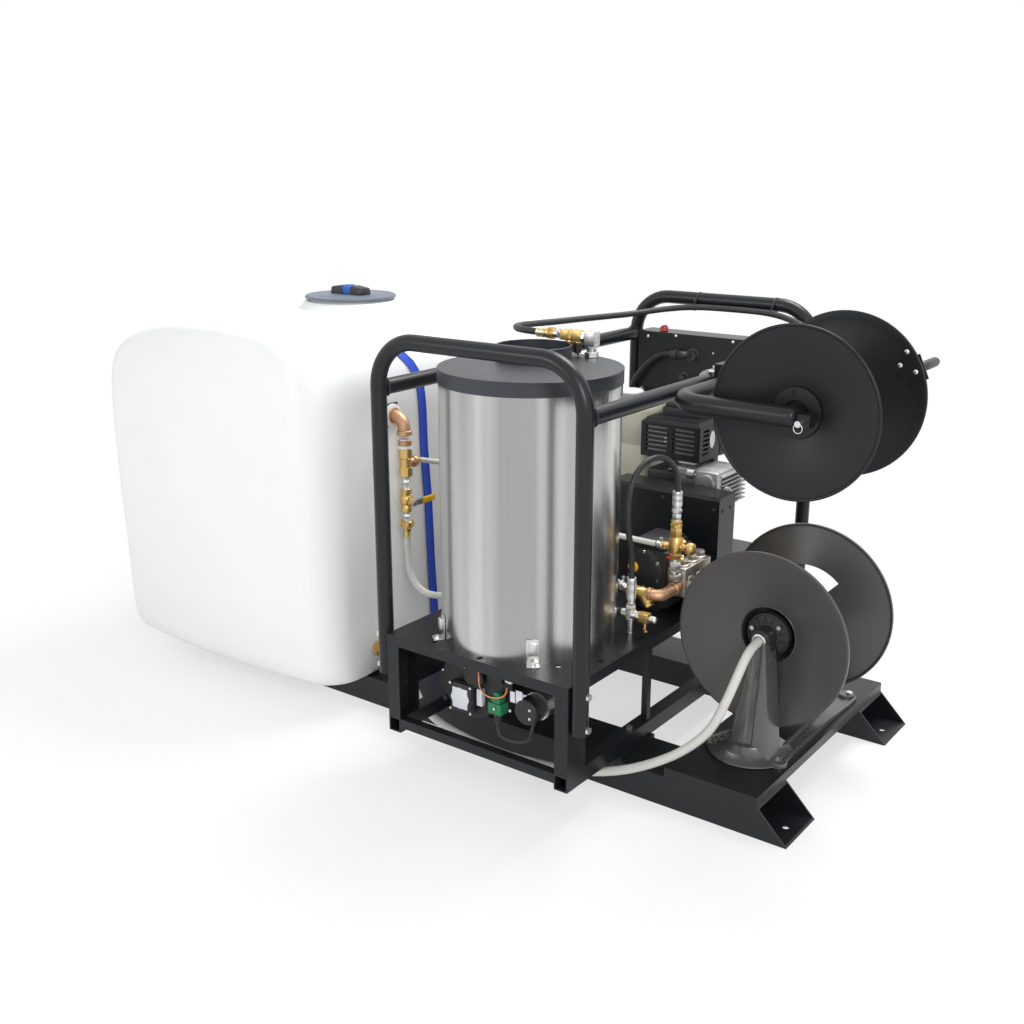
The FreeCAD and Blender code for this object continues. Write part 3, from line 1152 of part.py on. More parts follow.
for spot, y in (("near", as_size(-45.0)), ("far", as_size(-5.0))):
    ring_outer = rod("clamp_outer_" + spot, front_hoop_x, y - 5, crossbar_high, hoop_radius + 10,
                     as_size(10.0), "Y")
    ring_inner = rod("clamp_inner_" + spot, front_hoop_x, y - 5, crossbar_high, hoop_radius + 0.1,
                     as_size(10.0), "Y")
    half_space = box("clamp_half_" + spot, front_hoop_x, y - 10, crossbar_high - 50, as_size(60.0),
                     as_size(20.0), as_size(100.0))
    arch = cut("clamp_arch_" + spot, ring_outer, ring_inner, half_space)
    top_leg = rod("clamp_leg_top_" + spot, front_hoop_x, y, crossbar_high + hoop_radius + 5, bolt_radius,
                  as_size(44.0), "X")
    low_leg = rod("clamp_leg_low_" + spot, front_hoop_x, y, crossbar_high - hoop_radius - 5, bolt_radius,
                  as_size(44.0), "X")
    clamp_set.append(fuse("clamp_" + spot, arch, top_leg, low_leg))
pin_rod = rod("lock_pin_rod", reel_x + 42 * math.cos(math.radians(-10)), yoke_front - 38,
              reel_z + 42 * math.sin(math.radians(-10)),
              as_size(5.0), as_size(68.0), "Y")
pin_ring_outer = rod("lock_ring_outer", reel_x + 27, yoke_front - 34, reel_z - 7.3, as_size(16.0),
                     as_size(3.0), "Y")
pin_ring_inner = rod("lock_ring_inner", reel_x + 25, yoke_front - 36, reel_z - 7.3, as_size(11.5),
                     as_size(9.0), "Y")
keep(fuse("reel_lock_pin", pin_rod, cut("lock_ring", pin_ring_outer, pin_ring_inner)))
collar = rod("axle_collar_disc", reel_x, reel_far - dish_deep + seat_gap, reel_z, as_size(20.0),
             as_size(9.0), "Y")
collar_bore = rod("axle_collar_bore", reel_x, reel_far - dish_deep, reel_z, spindle_radius + fit_gap,
                  as_size(20.0), "Y")
axle_collar = cut("pressure_axle_collar", collar, collar_bore)

arm_plate = box("crank_plate", 0, 0, 0, 76, 4, 64)
arm_turn = Rotation(Vector(0, 1, 0), -crank_turn)
arm_plate.Placement = Placement(Vector(984 + 134 * crank_dx + 32 * crank_dz, 16.3,
                                       1037 + 134 * crank_dz - 32 * crank_dx), arm_turn)
crank_rod = rod("crank_rod", as_size(984 + 196 * crank_dx), as_size(18.0), as_size(1037 + 196 * crank_dz),
                as_size(6.0), as_size(128.0), "Y")
crank_stop = rod("crank_stop", as_size(984 + 196 * crank_dx), as_size(141.0),
                 as_size(1037 + 196 * crank_dz), as_size(9.0), as_size(5.0), "Y")
arm_screws = []
for number, (reach, angle) in enumerate(screw_spots):
    x = reel_x + reach * math.cos(math.radians(angle))
    z = reel_z + reach * math.sin(math.radians(angle))
    arm_screws.append(rod("crank_screw_" + str(number), x, reel_far - 22, z, as_size(3.0), as_size(46.0),
                          "Y"))
keep(fuse("reel_crank", arm_plate, crank_rod, crank_stop, *arm_screws))
crank_grip_outer = rod("crank_grip_outer", as_size(984 + 196 * crank_dx), as_size(24.0),
                       as_size(1037 + 196 * crank_dz), as_size(12.4), as_size(116.0), "Y")
crank_grip_bore = rod("crank_grip_bore", as_size(984 + 196 * crank_dx), as_size(20.0),
                      as_size(1037 + 196 * crank_dz), as_size(6.0) + fit_gap, as_size(130.0), "Y")
keep(cut("crank_grip", crank_grip_outer, crank_grip_bore))

# Supply hose reel on a cast stand whose leg reaches into the hub from the near side
low_x = size("supply_reel_x", 883.5)
low_z = size("supply_reel_z", 409.6)
low_near = size("supply_reel_near", -170)
low_far = size("supply_reel_far", 143)
low_radius = size("supply_reel_radius", 236)
low_drum = size("supply_drum_radius", 78)
low_dish = size("supply_dish", 46)
low_spindle = size("supply_spindle", 16)
low_wide = low_far - low_near


def open_reel_corners(wide, radius, drum, deep, bore, lip, web):
    return [
        (drum - 3, deep), (drum, deep), (radius - 4, as_size(0.0)), (radius, as_size(0.0)), (radius, lip),
        (radius - 4, lip), (radius - 4, flange_thick), (drum, deep + flange_thick),
        (drum, wide - deep - flange_thick), (radius - 4, wide - flange_thick), (radius - 4, wide - lip),
        (radius, wide - lip), (radius, wide), (radius - 4, wide), (drum, wide - deep),
        (drum - 3, wide - deep),
        (drum - 3, web + 6), (bore + 12, web + 6), (bore + 12, web + 40), (bore, web + 40), (bore, web),
        (drum - 3, web),
    ]


low_blank = turned("supply_reel_blank", open_reel_corners(low_wide, low_radius, low_drum, low_dish,
                   low_spindle + fit_gap, as_size(8.0), as_size(120.0)), low_x, low_near, low_z, "Y")
window_turn = TURNS["Y"].multiply(Rotation(Vector(0, 0, 1), -124))
window_sector = rod("window_sector", low_x, low_far - 60, low_z, low_drum + 50, as_size(90.0), tilt=window_turn)
window_sector.Angle = 78
window_core = rod("window_core", low_x, low_far - 70, low_z, low_drum + 8, as_size(110.0), "Y")
keep(cut("supply_reel", low_blank, cut("reel_window", window_sector, window_core)))
stand_foot = rod("stand_foot", low_x + 2, as_size(-200.0), deck_top, as_size(110.0), as_size(12.0))
stand_back = box("stand_back", low_x - 120, as_size(-160.0), deck_top - 5, as_size(250.0), as_size(80.0),
                 as_size(22.0))
stand_tab_rear = box("stand_tab_rear", as_size(762.0), as_size(-240.0), deck_top, as_size(60.0),
                     as_size(52.0), as_size(12.0))
stand_tab_front = box("stand_tab_front", as_size(930.0), as_size(-254.0), deck_top, as_size(72.0),
                      as_size(96.0), as_size(12.0))
stand_arm = box("stand_arm", as_size(927.0), as_size(-200.0), deck_top, as_size(36.0), as_size(440.0),
                as_size(12.0))
stand_arm_rib = box("stand_arm_rib", as_size(927.0), as_size(-176.0), deck_top + 12, as_size(7.0),
                    as_size(400.0), as_size(9.0))
stand_pad = box("stand_arm_pad", as_size(934.0), as_size(232.0), deck_top, as_size(62.0), as_size(58.0),
                as_size(12.0))


def stand_leg(label, inset, drop):
    leg = new_body(label)
    foot = new_sketch(leg, label + "_foot", "XY_Plane", deck_top + 8 - drop)
    outline(foot, [(low_x - 46 + inset, as_size(-252.0) + inset), (low_x + 80 - inset, as_size(-252.0) + inset),
                   (low_x + 80 - inset, as_size(-222.0) + drop), (low_x - 46 + inset,
                                                                  as_size(-222.0) + drop)])
    head = new_sketch(leg, label + "_head", "XY_Plane", low_z)
    outline(head, [(low_x - 23 + inset, as_size(-150.0) + inset), (low_x + 27 - inset, as_size(-150.0) + inset),
                   (low_x + 27 - inset, as_size(-122.0) + drop), (low_x - 23 + inset,
                                                                  as_size(-122.0) + drop)])
    shape = leg.newObject("PartDesign::AdditiveLoft", label + "_loft")
    shape.Profile = foot
    shape.Sections = [head]
    shape.Ruled = True
    return leg


leg_solid = stand_leg("stand_leg_solid", as_size(0.0), as_size(0.0))
leg_hollow = stand_leg("stand_leg_hollow", as_size(6.0), as_size(10.0))
leg_cap = box("stand_leg_cap", low_x - 40, as_size(-170.0), low_z - 60, as_size(90.0), as_size(90.0),
              as_size(100.0))
stand_hub = rod("stand_hub", low_x, as_size(-124.0), low_z, as_size(58.0), as_size(26.0), "Y")
stand_hub_back = rod("stand_hub_back", low_x, as_size(-98.0), low_z, as_size(34.0), as_size(34.0), "Y")
stand_spindle = rod("stand_spindle", low_x, as_size(-98.0), low_z, low_spindle, as_size(123.0), "Y")
inlet_ring = rod("inlet_ring", low_x, as_size(-160.0), low_z, as_size(18.0), as_size(48.0), "Y")
hub_ribs = []
for number in range(6):
    angle = math.radians(15 + 60.0 * number)
    hub_ribs.append(rod("hub_rib_" + str(number), low_x + 47 * math.cos(angle), as_size(-131.0),
                        low_z + 47 * math.sin(angle), as_size(8.0), as_size(20.0), "Y"))
stand_holes = []
for number, (x, y) in enumerate(STAND_BOLTS):
    stand_holes.append(rod("stand_hole_" + str(number), as_size(float(x)), as_size(float(y)), deck_top - 2,
                           bolt_radius + seat_gap, as_size(20.0)))
stand_base = cut("stand_base", fuse("stand_base_blank", cut("stand_foot_cut", stand_foot, stand_back), stand_tab_rear,
                 stand_tab_front, stand_arm, stand_arm_rib, stand_pad), *stand_holes)
leg_shell = cut("stand_leg", leg_solid, cut("stand_leg_pocket", leg_hollow, leg_cap))
keep(fuse("supply_reel_stand", stand_base, leg_shell, stand_hub, stand_hub_back, stand_spindle, inlet_ring,
          *hub_ribs))
low_collar_disc = rod("supply_collar_disc", low_x, low_near + 160.3, low_z, as_size(26.0), as_size(10.0), "Y")
low_collar_bore = rod("supply_collar_bore", low_x, low_near + 150, low_z, low_spindle + fit_gap,
                      as_size(30.0), "Y")
stand_bolt_set = []
for number, (x, y) in enumerate(STAND_BOLTS):
    stand_bolt_set.append(bolt("stand_bolt_" + str(number), as_size(float(x)), as_size(float(y)),
                               deck_top + 12, "-Z",
                               bolt_radius, 30, 6, as_size(16.3)))
keep(group("reel_fasteners", axle_collar, cut("supply_axle_collar", low_collar_disc, low_collar_bore),
           *clamp_set,
           *stand_bolt_set))

# Hoses
hose("supply_hose", [(883.5, -160, 409.6), (883.5, -205, 409.6), (884, -252, 392), (881, -290, 350),
                     (868, -322, 285), (845, -352, 212), (793, -388, 156), (722, -424, 112),
                     (640, -456, 78), (540, -482, 56), (430, -500, 48), (320, -508, 45), (215, -508, 47),
                     (120, -503, 57), (35, -494, 75), (-30, -474, 106), (-68, -452, 134),
                     (-110, -424, 161), (-158, -400, 180), (-210.8, -400, 180)], 24)
hose("tank_hose", [(-200, -312, 520.9), (-200, -312, 470), (-192, -314, 412), (-160, -316, 368),
                   (-108, -308, 350), (-35, -275, 364), (30, -225, 397), (100, -165, 410),
                   (180, -132, 412), (260, -124, 416), (330, -126, 434), (378, -136, 460),
                   (422, -149.9, 472), (470.4, -177.9, 472)], 20)
hose("bypass_hose", [(535.9, -116, 590), (490, -116, 590), (420, -120, 592), (300, -128, 598),
                     (180, -128, 612), (70, -136, 645), (-25, -140, 690), (-110, -132, 730),
                     (-168, -142, 745), (-200, -188, 745), (-200, -251.7, 745)], 16)
hose("pressure_hose", [(596, -116, 750.1), (596, -116, 788), (590.4, -140, 830), (580.7, -181.6, 855),
                       (569.5, -229.6, 855), (559.8, -271.3, 830), (554.2, -295.2, 785),
                       (551, -298, 722), (549, -284, 655), (548, -262, 598), (548, -262, 536.1)], 16)
hose("outlet_hose", [(189.9, -195, 1150), (150, -195, 1150), (95, -170, 1150), (62, -115, 1148),
                     (52, -40, 1143), (50, 80, 1136), (50, 220, 1130), (54, 360, 1124), (80, 480, 1116),
                     (145, 562, 1112), (250, 594, 1112), (380, 598, 1112), (500, 594, 1110),
                     (600, 566, 1104), (690, 515, 1092), (775, 445, 1075), (855, 370, 1058),
                     (925, 295, 1045), (970, 220, 1038), (984, 140, 1037), (984, 60.3, 1037)], 19)
hose("control_conduit", [(201.7, 535, 997), (168, 535, 997), (130, 534, 976), (92, 534, 940),
                         (62, 536, 902), (44, 547, 858), (40, 564, 806), (50, 578, 744), (74, 588, 670),
                         (108, 584, 590), (144, 576, 516), (170, 570, 452), (180, 566, 402),
                         (180, 566, 350)], 18)

# Final check of every feature, then one file for each sub-part
doc.recompute()
for thing in doc.Objects:
    if "Invalid" in thing.State or "Error" in thing.State:
        raise ValueError("feature failed: " + thing.Name + " " + str(thing.State))
os.makedirs("parts", exist_ok=True)
for piece in pieces:
    shape = piece.Shape
    if shape.isNull() or not shape.isValid():
        raise ValueError("bad shape: " + piece.Label)
    shape.exportStep("parts/" + piece.Label + ".step")
    print(piece.Label, "solids", len(shape.Solids), "volume", round(shape.Volume / 1000), "cm3",
          "x", round(shape.BoundBox.XMin, 1), round(shape.BoundBox.XMax, 1),
          "y", round(shape.BoundBox.YMin, 1), round(shape.BoundBox.YMax, 1),
          "z", round(shape.BoundBox.ZMin, 1), round(shape.BoundBox.ZMax, 1))
print(len(pieces), "pieces")
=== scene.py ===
import math
import bmesh
import bpy
from mathutils import Matrix, Vector


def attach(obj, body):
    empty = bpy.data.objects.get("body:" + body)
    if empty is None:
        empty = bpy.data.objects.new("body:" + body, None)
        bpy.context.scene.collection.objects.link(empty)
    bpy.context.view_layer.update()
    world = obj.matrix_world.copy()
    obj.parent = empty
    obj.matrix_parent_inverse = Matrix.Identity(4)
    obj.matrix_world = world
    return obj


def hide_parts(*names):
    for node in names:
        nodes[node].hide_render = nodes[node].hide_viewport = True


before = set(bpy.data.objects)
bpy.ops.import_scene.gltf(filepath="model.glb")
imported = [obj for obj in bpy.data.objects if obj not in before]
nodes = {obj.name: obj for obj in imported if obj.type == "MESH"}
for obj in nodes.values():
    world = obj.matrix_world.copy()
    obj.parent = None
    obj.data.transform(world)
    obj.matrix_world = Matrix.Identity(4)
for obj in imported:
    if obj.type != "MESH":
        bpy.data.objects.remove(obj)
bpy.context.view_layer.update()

# View: a camera at eye height off the near front corner of the skid,
# looking back along the machine and slightly down at it.
camera_data = bpy.data.cameras.new("camera")
camera_data.sensor_width = 36
camera_data.lens = 1202.47 * 36 / 1024
camera = bpy.data.objects.new("camera", camera_data)
camera.location = (2.09259, -2.86382, 1.60665)
camera.rotation_euler = (math.radians(90 - 16.469), 0, math.radians(36.716))
bpy.context.scene.collection.objects.link(camera)
bpy.context.scene.camera = camera


# Skid rails, deck, base frame, machine bed, hoops and crossbars: cut, folded
# and welded steel under a satin black powder coat with a slight orange peel.
def shader(name):
    """Material with its own surface shader."""
    material = bpy.data.materials.new(name)
    material.use_nodes = True
    return material, material.node_tree, material.node_tree.nodes["Principled BSDF"]


def fill(tree, node, sockets):
    """Give a node's inputs their values, or wire them to another node's output."""
    for socket, value in sockets.items():
        if isinstance(value, bpy.types.NodeSocket):
            tree.links.new(value, node.inputs[socket])
        else:
            node.inputs[socket].default_value = value


def wired(tree, kind, sockets, result, **settings):
    """New shader node with its settings and inputs; gives back one of its outputs."""
    node = tree.nodes.new("ShaderNode" + kind)
    for setting, value in settings.items():
        setattr(node, setting, value)
    fill(tree, node, sockets)
    return node.outputs[result]


def surface_group():
    """Uneven surface: colour and roughness that drift in patches, with fine bumps."""
    group = bpy.data.node_groups.new("uneven surface", "ShaderNodeTree")
    grey = (0.5, 0.5, 0.5, 1)
    for name, kind, value in (("Colour", "Color", grey), ("Second Colour", "Color", grey),
            ("Patch Size", "Float", 8.0), ("Grain Size", "Float", 600.0), ("Roughness", "Float", 0.5),
            ("Roughness Drift", "Float", 0.1), ("Bump", "Float", 0.2)):
        group.interface.new_socket(name, in_out="INPUT",
            socket_type="NodeSocket" + kind).default_value = value
    for name, kind in (("Colour", "Color"), ("Roughness", "Float"), ("Normal", "Vector")):
        group.interface.new_socket(name, in_out="OUTPUT", socket_type="NodeSocket" + kind)
    given = group.nodes.new("NodeGroupInput").outputs
    place = wired(group, "TexCoord", {}, "Object")
    patch = wired(group, "TexNoise", {"Vector": place, "Scale": given["Patch Size"], "Detail": 4}, "Fac")
    grain = wired(group, "TexNoise", {"Vector": place, "Scale": given["Grain Size"], "Detail": 2}, "Fac")
    fill(group, group.nodes.new("NodeGroupOutput"), {"Colour": wired(group, "Mix",
        {"Factor": patch, "A": given["Colour"], "B": given["Second Colour"]}, "Result", data_type="RGBA"),
        "Roughness": wired(group, "Math", {0: patch, 1: given["Roughness Drift"], 2: given["Roughness"]},
        "Value", operation="MULTIPLY_ADD"), "Normal": wired(group, "Bump",
        {"Strength": given["Bump"], "Distance": 0.0006, "Height": grain}, "Normal")})
    return group


uneven = surface_group()


def finish(name, colour, second, roughness, drift, bump, patch=8.0, grain=600.0, metallic=0.0, coat=0.0,
        gloss=0.5):
    """Material with the uneven surface and its own values."""
    material, tree, surface = shader(name)
    spread = tree.nodes.new("ShaderNodeGroup")
    spread.node_tree = uneven
    fill(tree, spread, {"Colour": (*colour, 1), "Second Colour": (*second, 1), "Patch Size": patch,
        "Grain Size": grain, "Roughness": roughness, "Roughness Drift": drift, "Bump": bump})
    fill(tree, surface, {"Base Color": spread.outputs["Colour"], "Roughness": spread.outputs["Roughness"],
        "Normal": spread.outputs["Normal"], "Metallic": metallic, "Coat Weight": coat,
        "Specular IOR Level": gloss})
    return material


def paint(material, *names):
    """Give pieces that keep their solid shape one material."""
    for name in names:
        nodes[name].data.materials.clear()
        nodes[name].data.materials.append(material)


frame_paint = finish("satin black powder coat", (0.0070, 0.0082, 0.0100), (0.0120, 0.0138, 0.0165), 0.26,
    0.12, 0.22, patch=5, grain=900, coat=0.03, gloss=0.32)
paint(frame_paint, "skid_rails", "reel_deck", "base_frame", "machine_bed", "roll_hoops", "crossbars")

# Weld beads where the crossbars meet the hoops: four rings of overlapping
# steel drops under the same paint, laid round the end of each bar.
work = bmesh.new()
UP, DOWN, NEAR, FAR, FRONT, REAR = (0, 0, 1), (0, 0, -1), (0, -1, 0), (0, 1, 0), (1, 0, 0), (-1, 0, 0)


def point(spot):
    """Add a point of the form at work, given in millimetres."""
    return work.verts.new(Vector(spot) / 1000)


def skin(rings, rear_end=True, front_end=True):
    """Faces from ring to ring of points, and over the two ends."""
    for low, high in zip(rings, rings[1:]):
        for here in range(len(low)):
            after = (here + 1) % len(low)
            work.faces.new((low[here], low[after], high[after], high[here]))
    if rear_end:
        work.faces.new(rings[0][::-1])
    if front_end:
        work.faces.new(rings[-1])


def sides_of(way):
    """Axis along a way, and two directions square to it."""
    axis = Vector(way).normalized()
    side = axis.orthogonal().normalized()
    return axis, side, axis.cross(side)


def turned(profile, at, way=UP, sides=48, hollow=False, start=0.0):
    """Turn (distance along the axis, radius) pairs round an axis."""
    axis, side, other = sides_of(way)
    rings = []
    for along, radius in profile:
        ring = []
        for step in range(sides):
            angle = start + math.tau * step / sides
            out = side * math.cos(angle) + other * math.sin(angle)
            ring.append(point(Vector(at) + axis * along + out * radius))
        rings.append(ring)
    skin(rings + rings[:1] if hollow else rings, not hollow, not hollow)


def on_circle(centre, radius, angle):
    """Two coordinates of a spot on a circle."""
    return centre[0] + radius * math.cos(angle), centre[1] + radius * math.sin(angle)


def spots_round(count, centre, reach, axis, begin=0.0):
    """Even spots on a circle round axis 0, 1 or 2."""
    first, second = [number for number in range(3) if number != axis]
    for step in range(count):
        angle = math.tau * (step + begin) / count
        spot = list(centre)
        spot[first] += reach * math.cos(angle)
        spot[second] += reach * math.sin(angle)
        yield spot


def made(name, material, body="machine", replaced=None, sharp=35):
    """Finish the form at work as a piece with its material, body and the solid that it stands for."""
    bmesh.ops.recalc_face_normals(work, faces=work.faces)
    mesh = bpy.data.meshes.new(name)
    work.to_mesh(mesh)
    work.clear()
    mesh.polygons.foreach_set("use_smooth", [True] * len(mesh.polygons))
    mesh.set_sharp_from_angle(angle=math.radians(sharp))
    mesh.materials.append(material)
    piece = bpy.data.objects.new(name, mesh)
    bpy.context.scene.collection.objects.link(piece)
    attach(piece, body)
    if replaced:
        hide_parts(replaced)
    return piece


BAR_RADIUS, BAR_END, BAR_LEVEL = 21.6, 614.5, 1040
for bar_x in (5.9, 637.1):
    for side in (-1, 1):
        for drop in range(26):
            angle = math.tau * drop / 26
            lean = 3.5 * math.cos(angle * 2)
            x, z = on_circle((bar_x, BAR_LEVEL), BAR_RADIUS, angle)
            spot = (x, side * (BAR_END + lean), z)
            turned(((-4, 0.6), (-2.5, 3.2), (0, 4.2), (2.5, 3.2), (4, 0.6)), spot, (0, side, 0), 8)
made("weld_beads", frame_paint, sharp=80)

# Plated fasteners: zinc hexagon bolts that clamp the hoops, the base and the
# reel stand, under a slightly cloudy bright plating.
zinc_finish = finish("zinc plate", (0.60, 0.61, 0.60), (0.72, 0.72, 0.70), 0.24, 0.2, 0.25, patch=60,
    grain=900, metallic=1.0)
paint(zinc_finish, "frame_bolts", "reel_fasteners")


# Burner shell: one sheet of brushed stainless steel rolled round the heater,
# with a lapped seam down its side held by rivets, and wool packed behind it.
def brushed_steel():
    """Rolled sheet: fine drawn lines, shallow dents, and wide pale and bluish bands that are painted
    reflections in its colour.
    """
    material, tree, surface = shader("brushed stainless")
    place = wired(tree, "TexCoord", {}, "Object")

    def drawn_noise(stretch, scale, detail=2.0):
        """Noise drawn out along the sheet."""
        vector = wired(tree, "Mapping", {"Vector": place, "Scale": stretch}, "Vector")
        return wired(tree, "TexNoise", {"Vector": vector, "Scale": scale, "Detail": detail}, "Fac")

    lines = drawn_noise((700, 700, 3), 1.0, 3)
    waves = drawn_noise((1, 1, 0.22), 5.0)
    # Painted reflections: wide bands round the shell, from bluish grey to white, multiplied into the steel's
    # colour.
    bands = drawn_noise((1, 1, 0.02), 11.0)
    tone = wired(tree, "Mix", {"Factor": lines, "A": (0.58, 0.58, 0.56, 1), "B": (0.70, 0.70, 0.68, 1)},
        "Result", data_type="RGBA")
    painted_reflection_bands = wired(tree, "MapRange", {"Value": bands, "From Min": 0.36, "From Max": 0.62}, "Result")
    shade = wired(tree, "Mix", {"Factor": painted_reflection_bands, "A": (0.60, 0.61, 0.64, 1), "B": (1.0, 1.0, 1.0, 1)},
        "Result", data_type="RGBA")
    dents = wired(tree, "Bump", {"Strength": 0.5, "Distance": 0.004, "Height": waves}, "Normal")
    fill(tree, surface, {"Base Color": wired(tree, "Mix", {"Factor": 1.0, "A": tone, "B": shade}, "Result",
        data_type="RGBA", blend_type="MULTIPLY"), "Roughness": wired(tree, "Math",
        {0: lines, 1: 0.12, 2: 0.2}, "Value", operation="MULTIPLY_ADD"),
        "Normal": wired(tree, "Bump", {"Strength": 0.12, "Distance": 0.0004, "Height": lines,
        "Normal": dents}, "Normal"), "Metallic": 1.0})
    return material


steel_sheet = brushed_steel()
paint(steel_sheet, "burner_shell")
paint(finish("ceramic wool", (0.75, 0.72, 0.65), (0.85, 0.82, 0.76), 0.9, 0.0, 1.0, patch=40),
    "burner_insulation")
paint(zinc_finish, "heating_coil")
BURNER_AT = (315, -402)
seam_start = math.radians(-26)
edge = []
for turn, radius in ((0, 236.2), (0, 237.1), (4.5, 237.1), (4.5, 236.2)):
    spot = on_circle(BURNER_AT, radius, seam_start + math.radians(turn))
    edge.append([point((*spot, level)) for level in (381, 1058)])
for here, after in zip(edge, edge[1:]):
    work.faces.new((here[0], after[0], after[1], here[1]))
made("burner_seam", steel_sheet)
angle = seam_start + math.radians(2.2)
for number in range(7):
    spot = (*on_circle(BURNER_AT, 237, angle), 420 + 100 * number)
    turned(((0, 3.4), (0.9, 3.0), (1.5, 1.6)), spot, (math.cos(angle), math.sin(angle), 0), 16)
made("burner_rivets", zinc_finish)


# Burner feet: pressed brackets of bright steel that hold the shell down to the
# bed, each with a folded lip, a hexagon screw and a washer.
def block(low, high, bevel=0.0, turn=None, about=None):
    """Box between two corners, with soft edges, turned about a point if asked."""
    low = Vector(low)
    high = Vector(high)
    shape = bmesh.ops.create_cube(work, size=1.0)
    verts = shape["verts"]
    middle = (low + high) / 2
    grow = Matrix.Diagonal((*(high - low), 1))
    bmesh.ops.transform(work, matrix=Matrix.Translation(middle) @ grow, verts=verts)
    if bevel:
        edges = list(dict.fromkeys(edge for vert in verts for edge in vert.link_edges))
        result = bmesh.ops.bevel(work, geom=edges, offset=bevel, segments=2, profile=0.6, affect="EDGES")
        verts = list(dict.fromkeys(vert for face in result["faces"] for vert in face.verts))
    if turn is not None:
        spot = Vector(about if about is not None else middle)
        bmesh.ops.transform(work, matrix=Matrix.Translation(spot) @ turn @ Matrix.Translation(-spot),
            verts=verts)
    bmesh.ops.scale(work, vec=(0.001, 0.001, 0.001), verts=verts)
    return verts


for degrees in (-128.0, -52.0, 75.0):
    angle = math.radians(degrees)
    turn = Matrix.Rotation(angle, 4, "Z")
    for near, far, half, low, high, soft in ((236.6, 239.4, 17, 380, 445, 1.2),
            (236.6, 266, 17, 379.3, 382.3, 1.2), (238, 250, 10, 404, 436, 3.0)):
        low_corner = (BURNER_AT[0] + near, BURNER_AT[1] - half, low)
        high_corner = (BURNER_AT[0] + far, BURNER_AT[1] + half, high)
        block(low_corner, high_corner, soft, turn, (*BURNER_AT, 0))
    screw = (*on_circle(BURNER_AT, 255, angle), 382)
    turned(((0, 9), (1.4, 9)), screw, UP, 24)
    turned(((1.4, 6.5), (5.6, 6.5), (6.6, 5.6)), screw, UP, 6)
made("burner_feet", zinc_finish, replaced="burner_latches")


# Burner lid: pressed steel disc with a rolled rim and an open flue collar,
# painted a dusty black that is slightly lighter than the frame's.
def wire_ring(centre, way, radius, thick, sides=72, around=10):
    """Ring of round wire about an axis."""
    section = [(thick * math.sin(math.tau * step / around),
        radius + thick * math.cos(math.tau * step / around)) for step in range(around)]
    turned(section, centre, way, sides, True)


lid_paint = finish("lid powder coat", (0.018, 0.022, 0.028), (0.028, 0.034, 0.042), 0.36, 0.15, 0.3, patch=7,
    grain=700)
paint(lid_paint, "burner_lid")
wire_ring((*BURNER_AT, 1094.3), UP, 237.0, 2.3, 120)
wire_ring((*BURNER_AT, 1060.0), UP, 237.6, 1.3, 120)
FLUE_AT = (252, -300)
wire_ring((*FLUE_AT, 1131.2), UP, 98.5, 2.2, 96)
wire_ring((*FLUE_AT, 1096.6), UP, 100.6, 1.8, 96, 6)
made("lid_rims", lid_paint)
# Near-black liner and floor inside the flue collar: painted shade standing in for the dark depth of the open
# flue.
turned(((1072, 96.9), (1098, 96.9), (1098, 96.5), (1074, 96.4), (1074, 30), (1072, 30)), (*FLUE_AT, 0), UP,
    64)
made("flue_throat", finish("painted shade in flue throat", (0.006, 0.006, 0.006), (0.012, 0.012, 0.012), 0.85, 0.0, 0.3))


# Coil outlet row on the lid: a plated elbow, brass tee with two black pressure
# switches, brass and plated nipples, and a crimped end on the outlet hose.
def hexagon(at, way, across, long, start=0.0):
    """Hexagon bar or nut with turned-off corners; across is its size over the flats."""
    radius = across / math.sqrt(3)
    soft = min(1.5, long * 0.15)
    turned(((0, radius * 0.92), (soft, radius), (long - soft, radius), (long, radius * 0.92)), at, way, 6,
        start=start)


def thread(at, way, radius, long, pitch=1.8):
    """Pipe thread: a row of small ridges."""
    profile = []
    for number in range(max(2, int(long / pitch))):
        profile += [(number * pitch, radius), ((number + 0.5) * pitch, radius - pitch * 0.35)]
    turned(profile + [(long, radius)], at, way, 32)


def crimp(at, way, radius, long):
    """Crimped hose sleeve: a thin sleeve pressed down in bands, with a collar at its far end."""
    bands = ((0.16, 1), (0.2, 0.92), (0.3, 0.92), (0.34, 0.99), (0.48, 0.99), (0.52, 0.92), (0.62, 0.92),
        (0.66, 0.99), (0.84, 0.99), (0.88, 0.8), (1, 0.8))
    profile = [(0, radius * 0.93), (1.2, radius)] + [(long * part, radius * size) for part, size in bands]
    turned(profile, at, way, 40)
    axis, side, other = sides_of(way)
    for turn in range(8):
        angle = math.tau * turn / 8
        out = side * math.cos(angle) + other * math.sin(angle)
        spot = Vector(at) + axis * long * 0.07 + out * radius * 0.97
        turned(((0, 0.7), (long * 0.7, 0.7)), spot, way, 6)


def elbow(corner, way_in, way_out, radius, bend, sides=32, steps=10):
    """Round elbow whose two legs meet at the corner; each leg is one bend radius long."""
    into, out = Vector(way_in).normalized(), Vector(way_out).normalized()
    centre = Vector(corner) - into * bend + out * bend
    lateral = into.cross(out)
    rings = []
    for step in range(steps + 1):
        angle = math.pi / 2 * step / steps
        radial = into * math.sin(angle) - out * math.cos(angle)
        ring = []
        for number in range(sides):
            turn = math.tau * number / sides
            reach = radial * (bend + radius * math.cos(turn))
            ring.append(point(centre + reach + lateral * radius * math.sin(turn)))
        rings.append(ring)
    skin(rings)


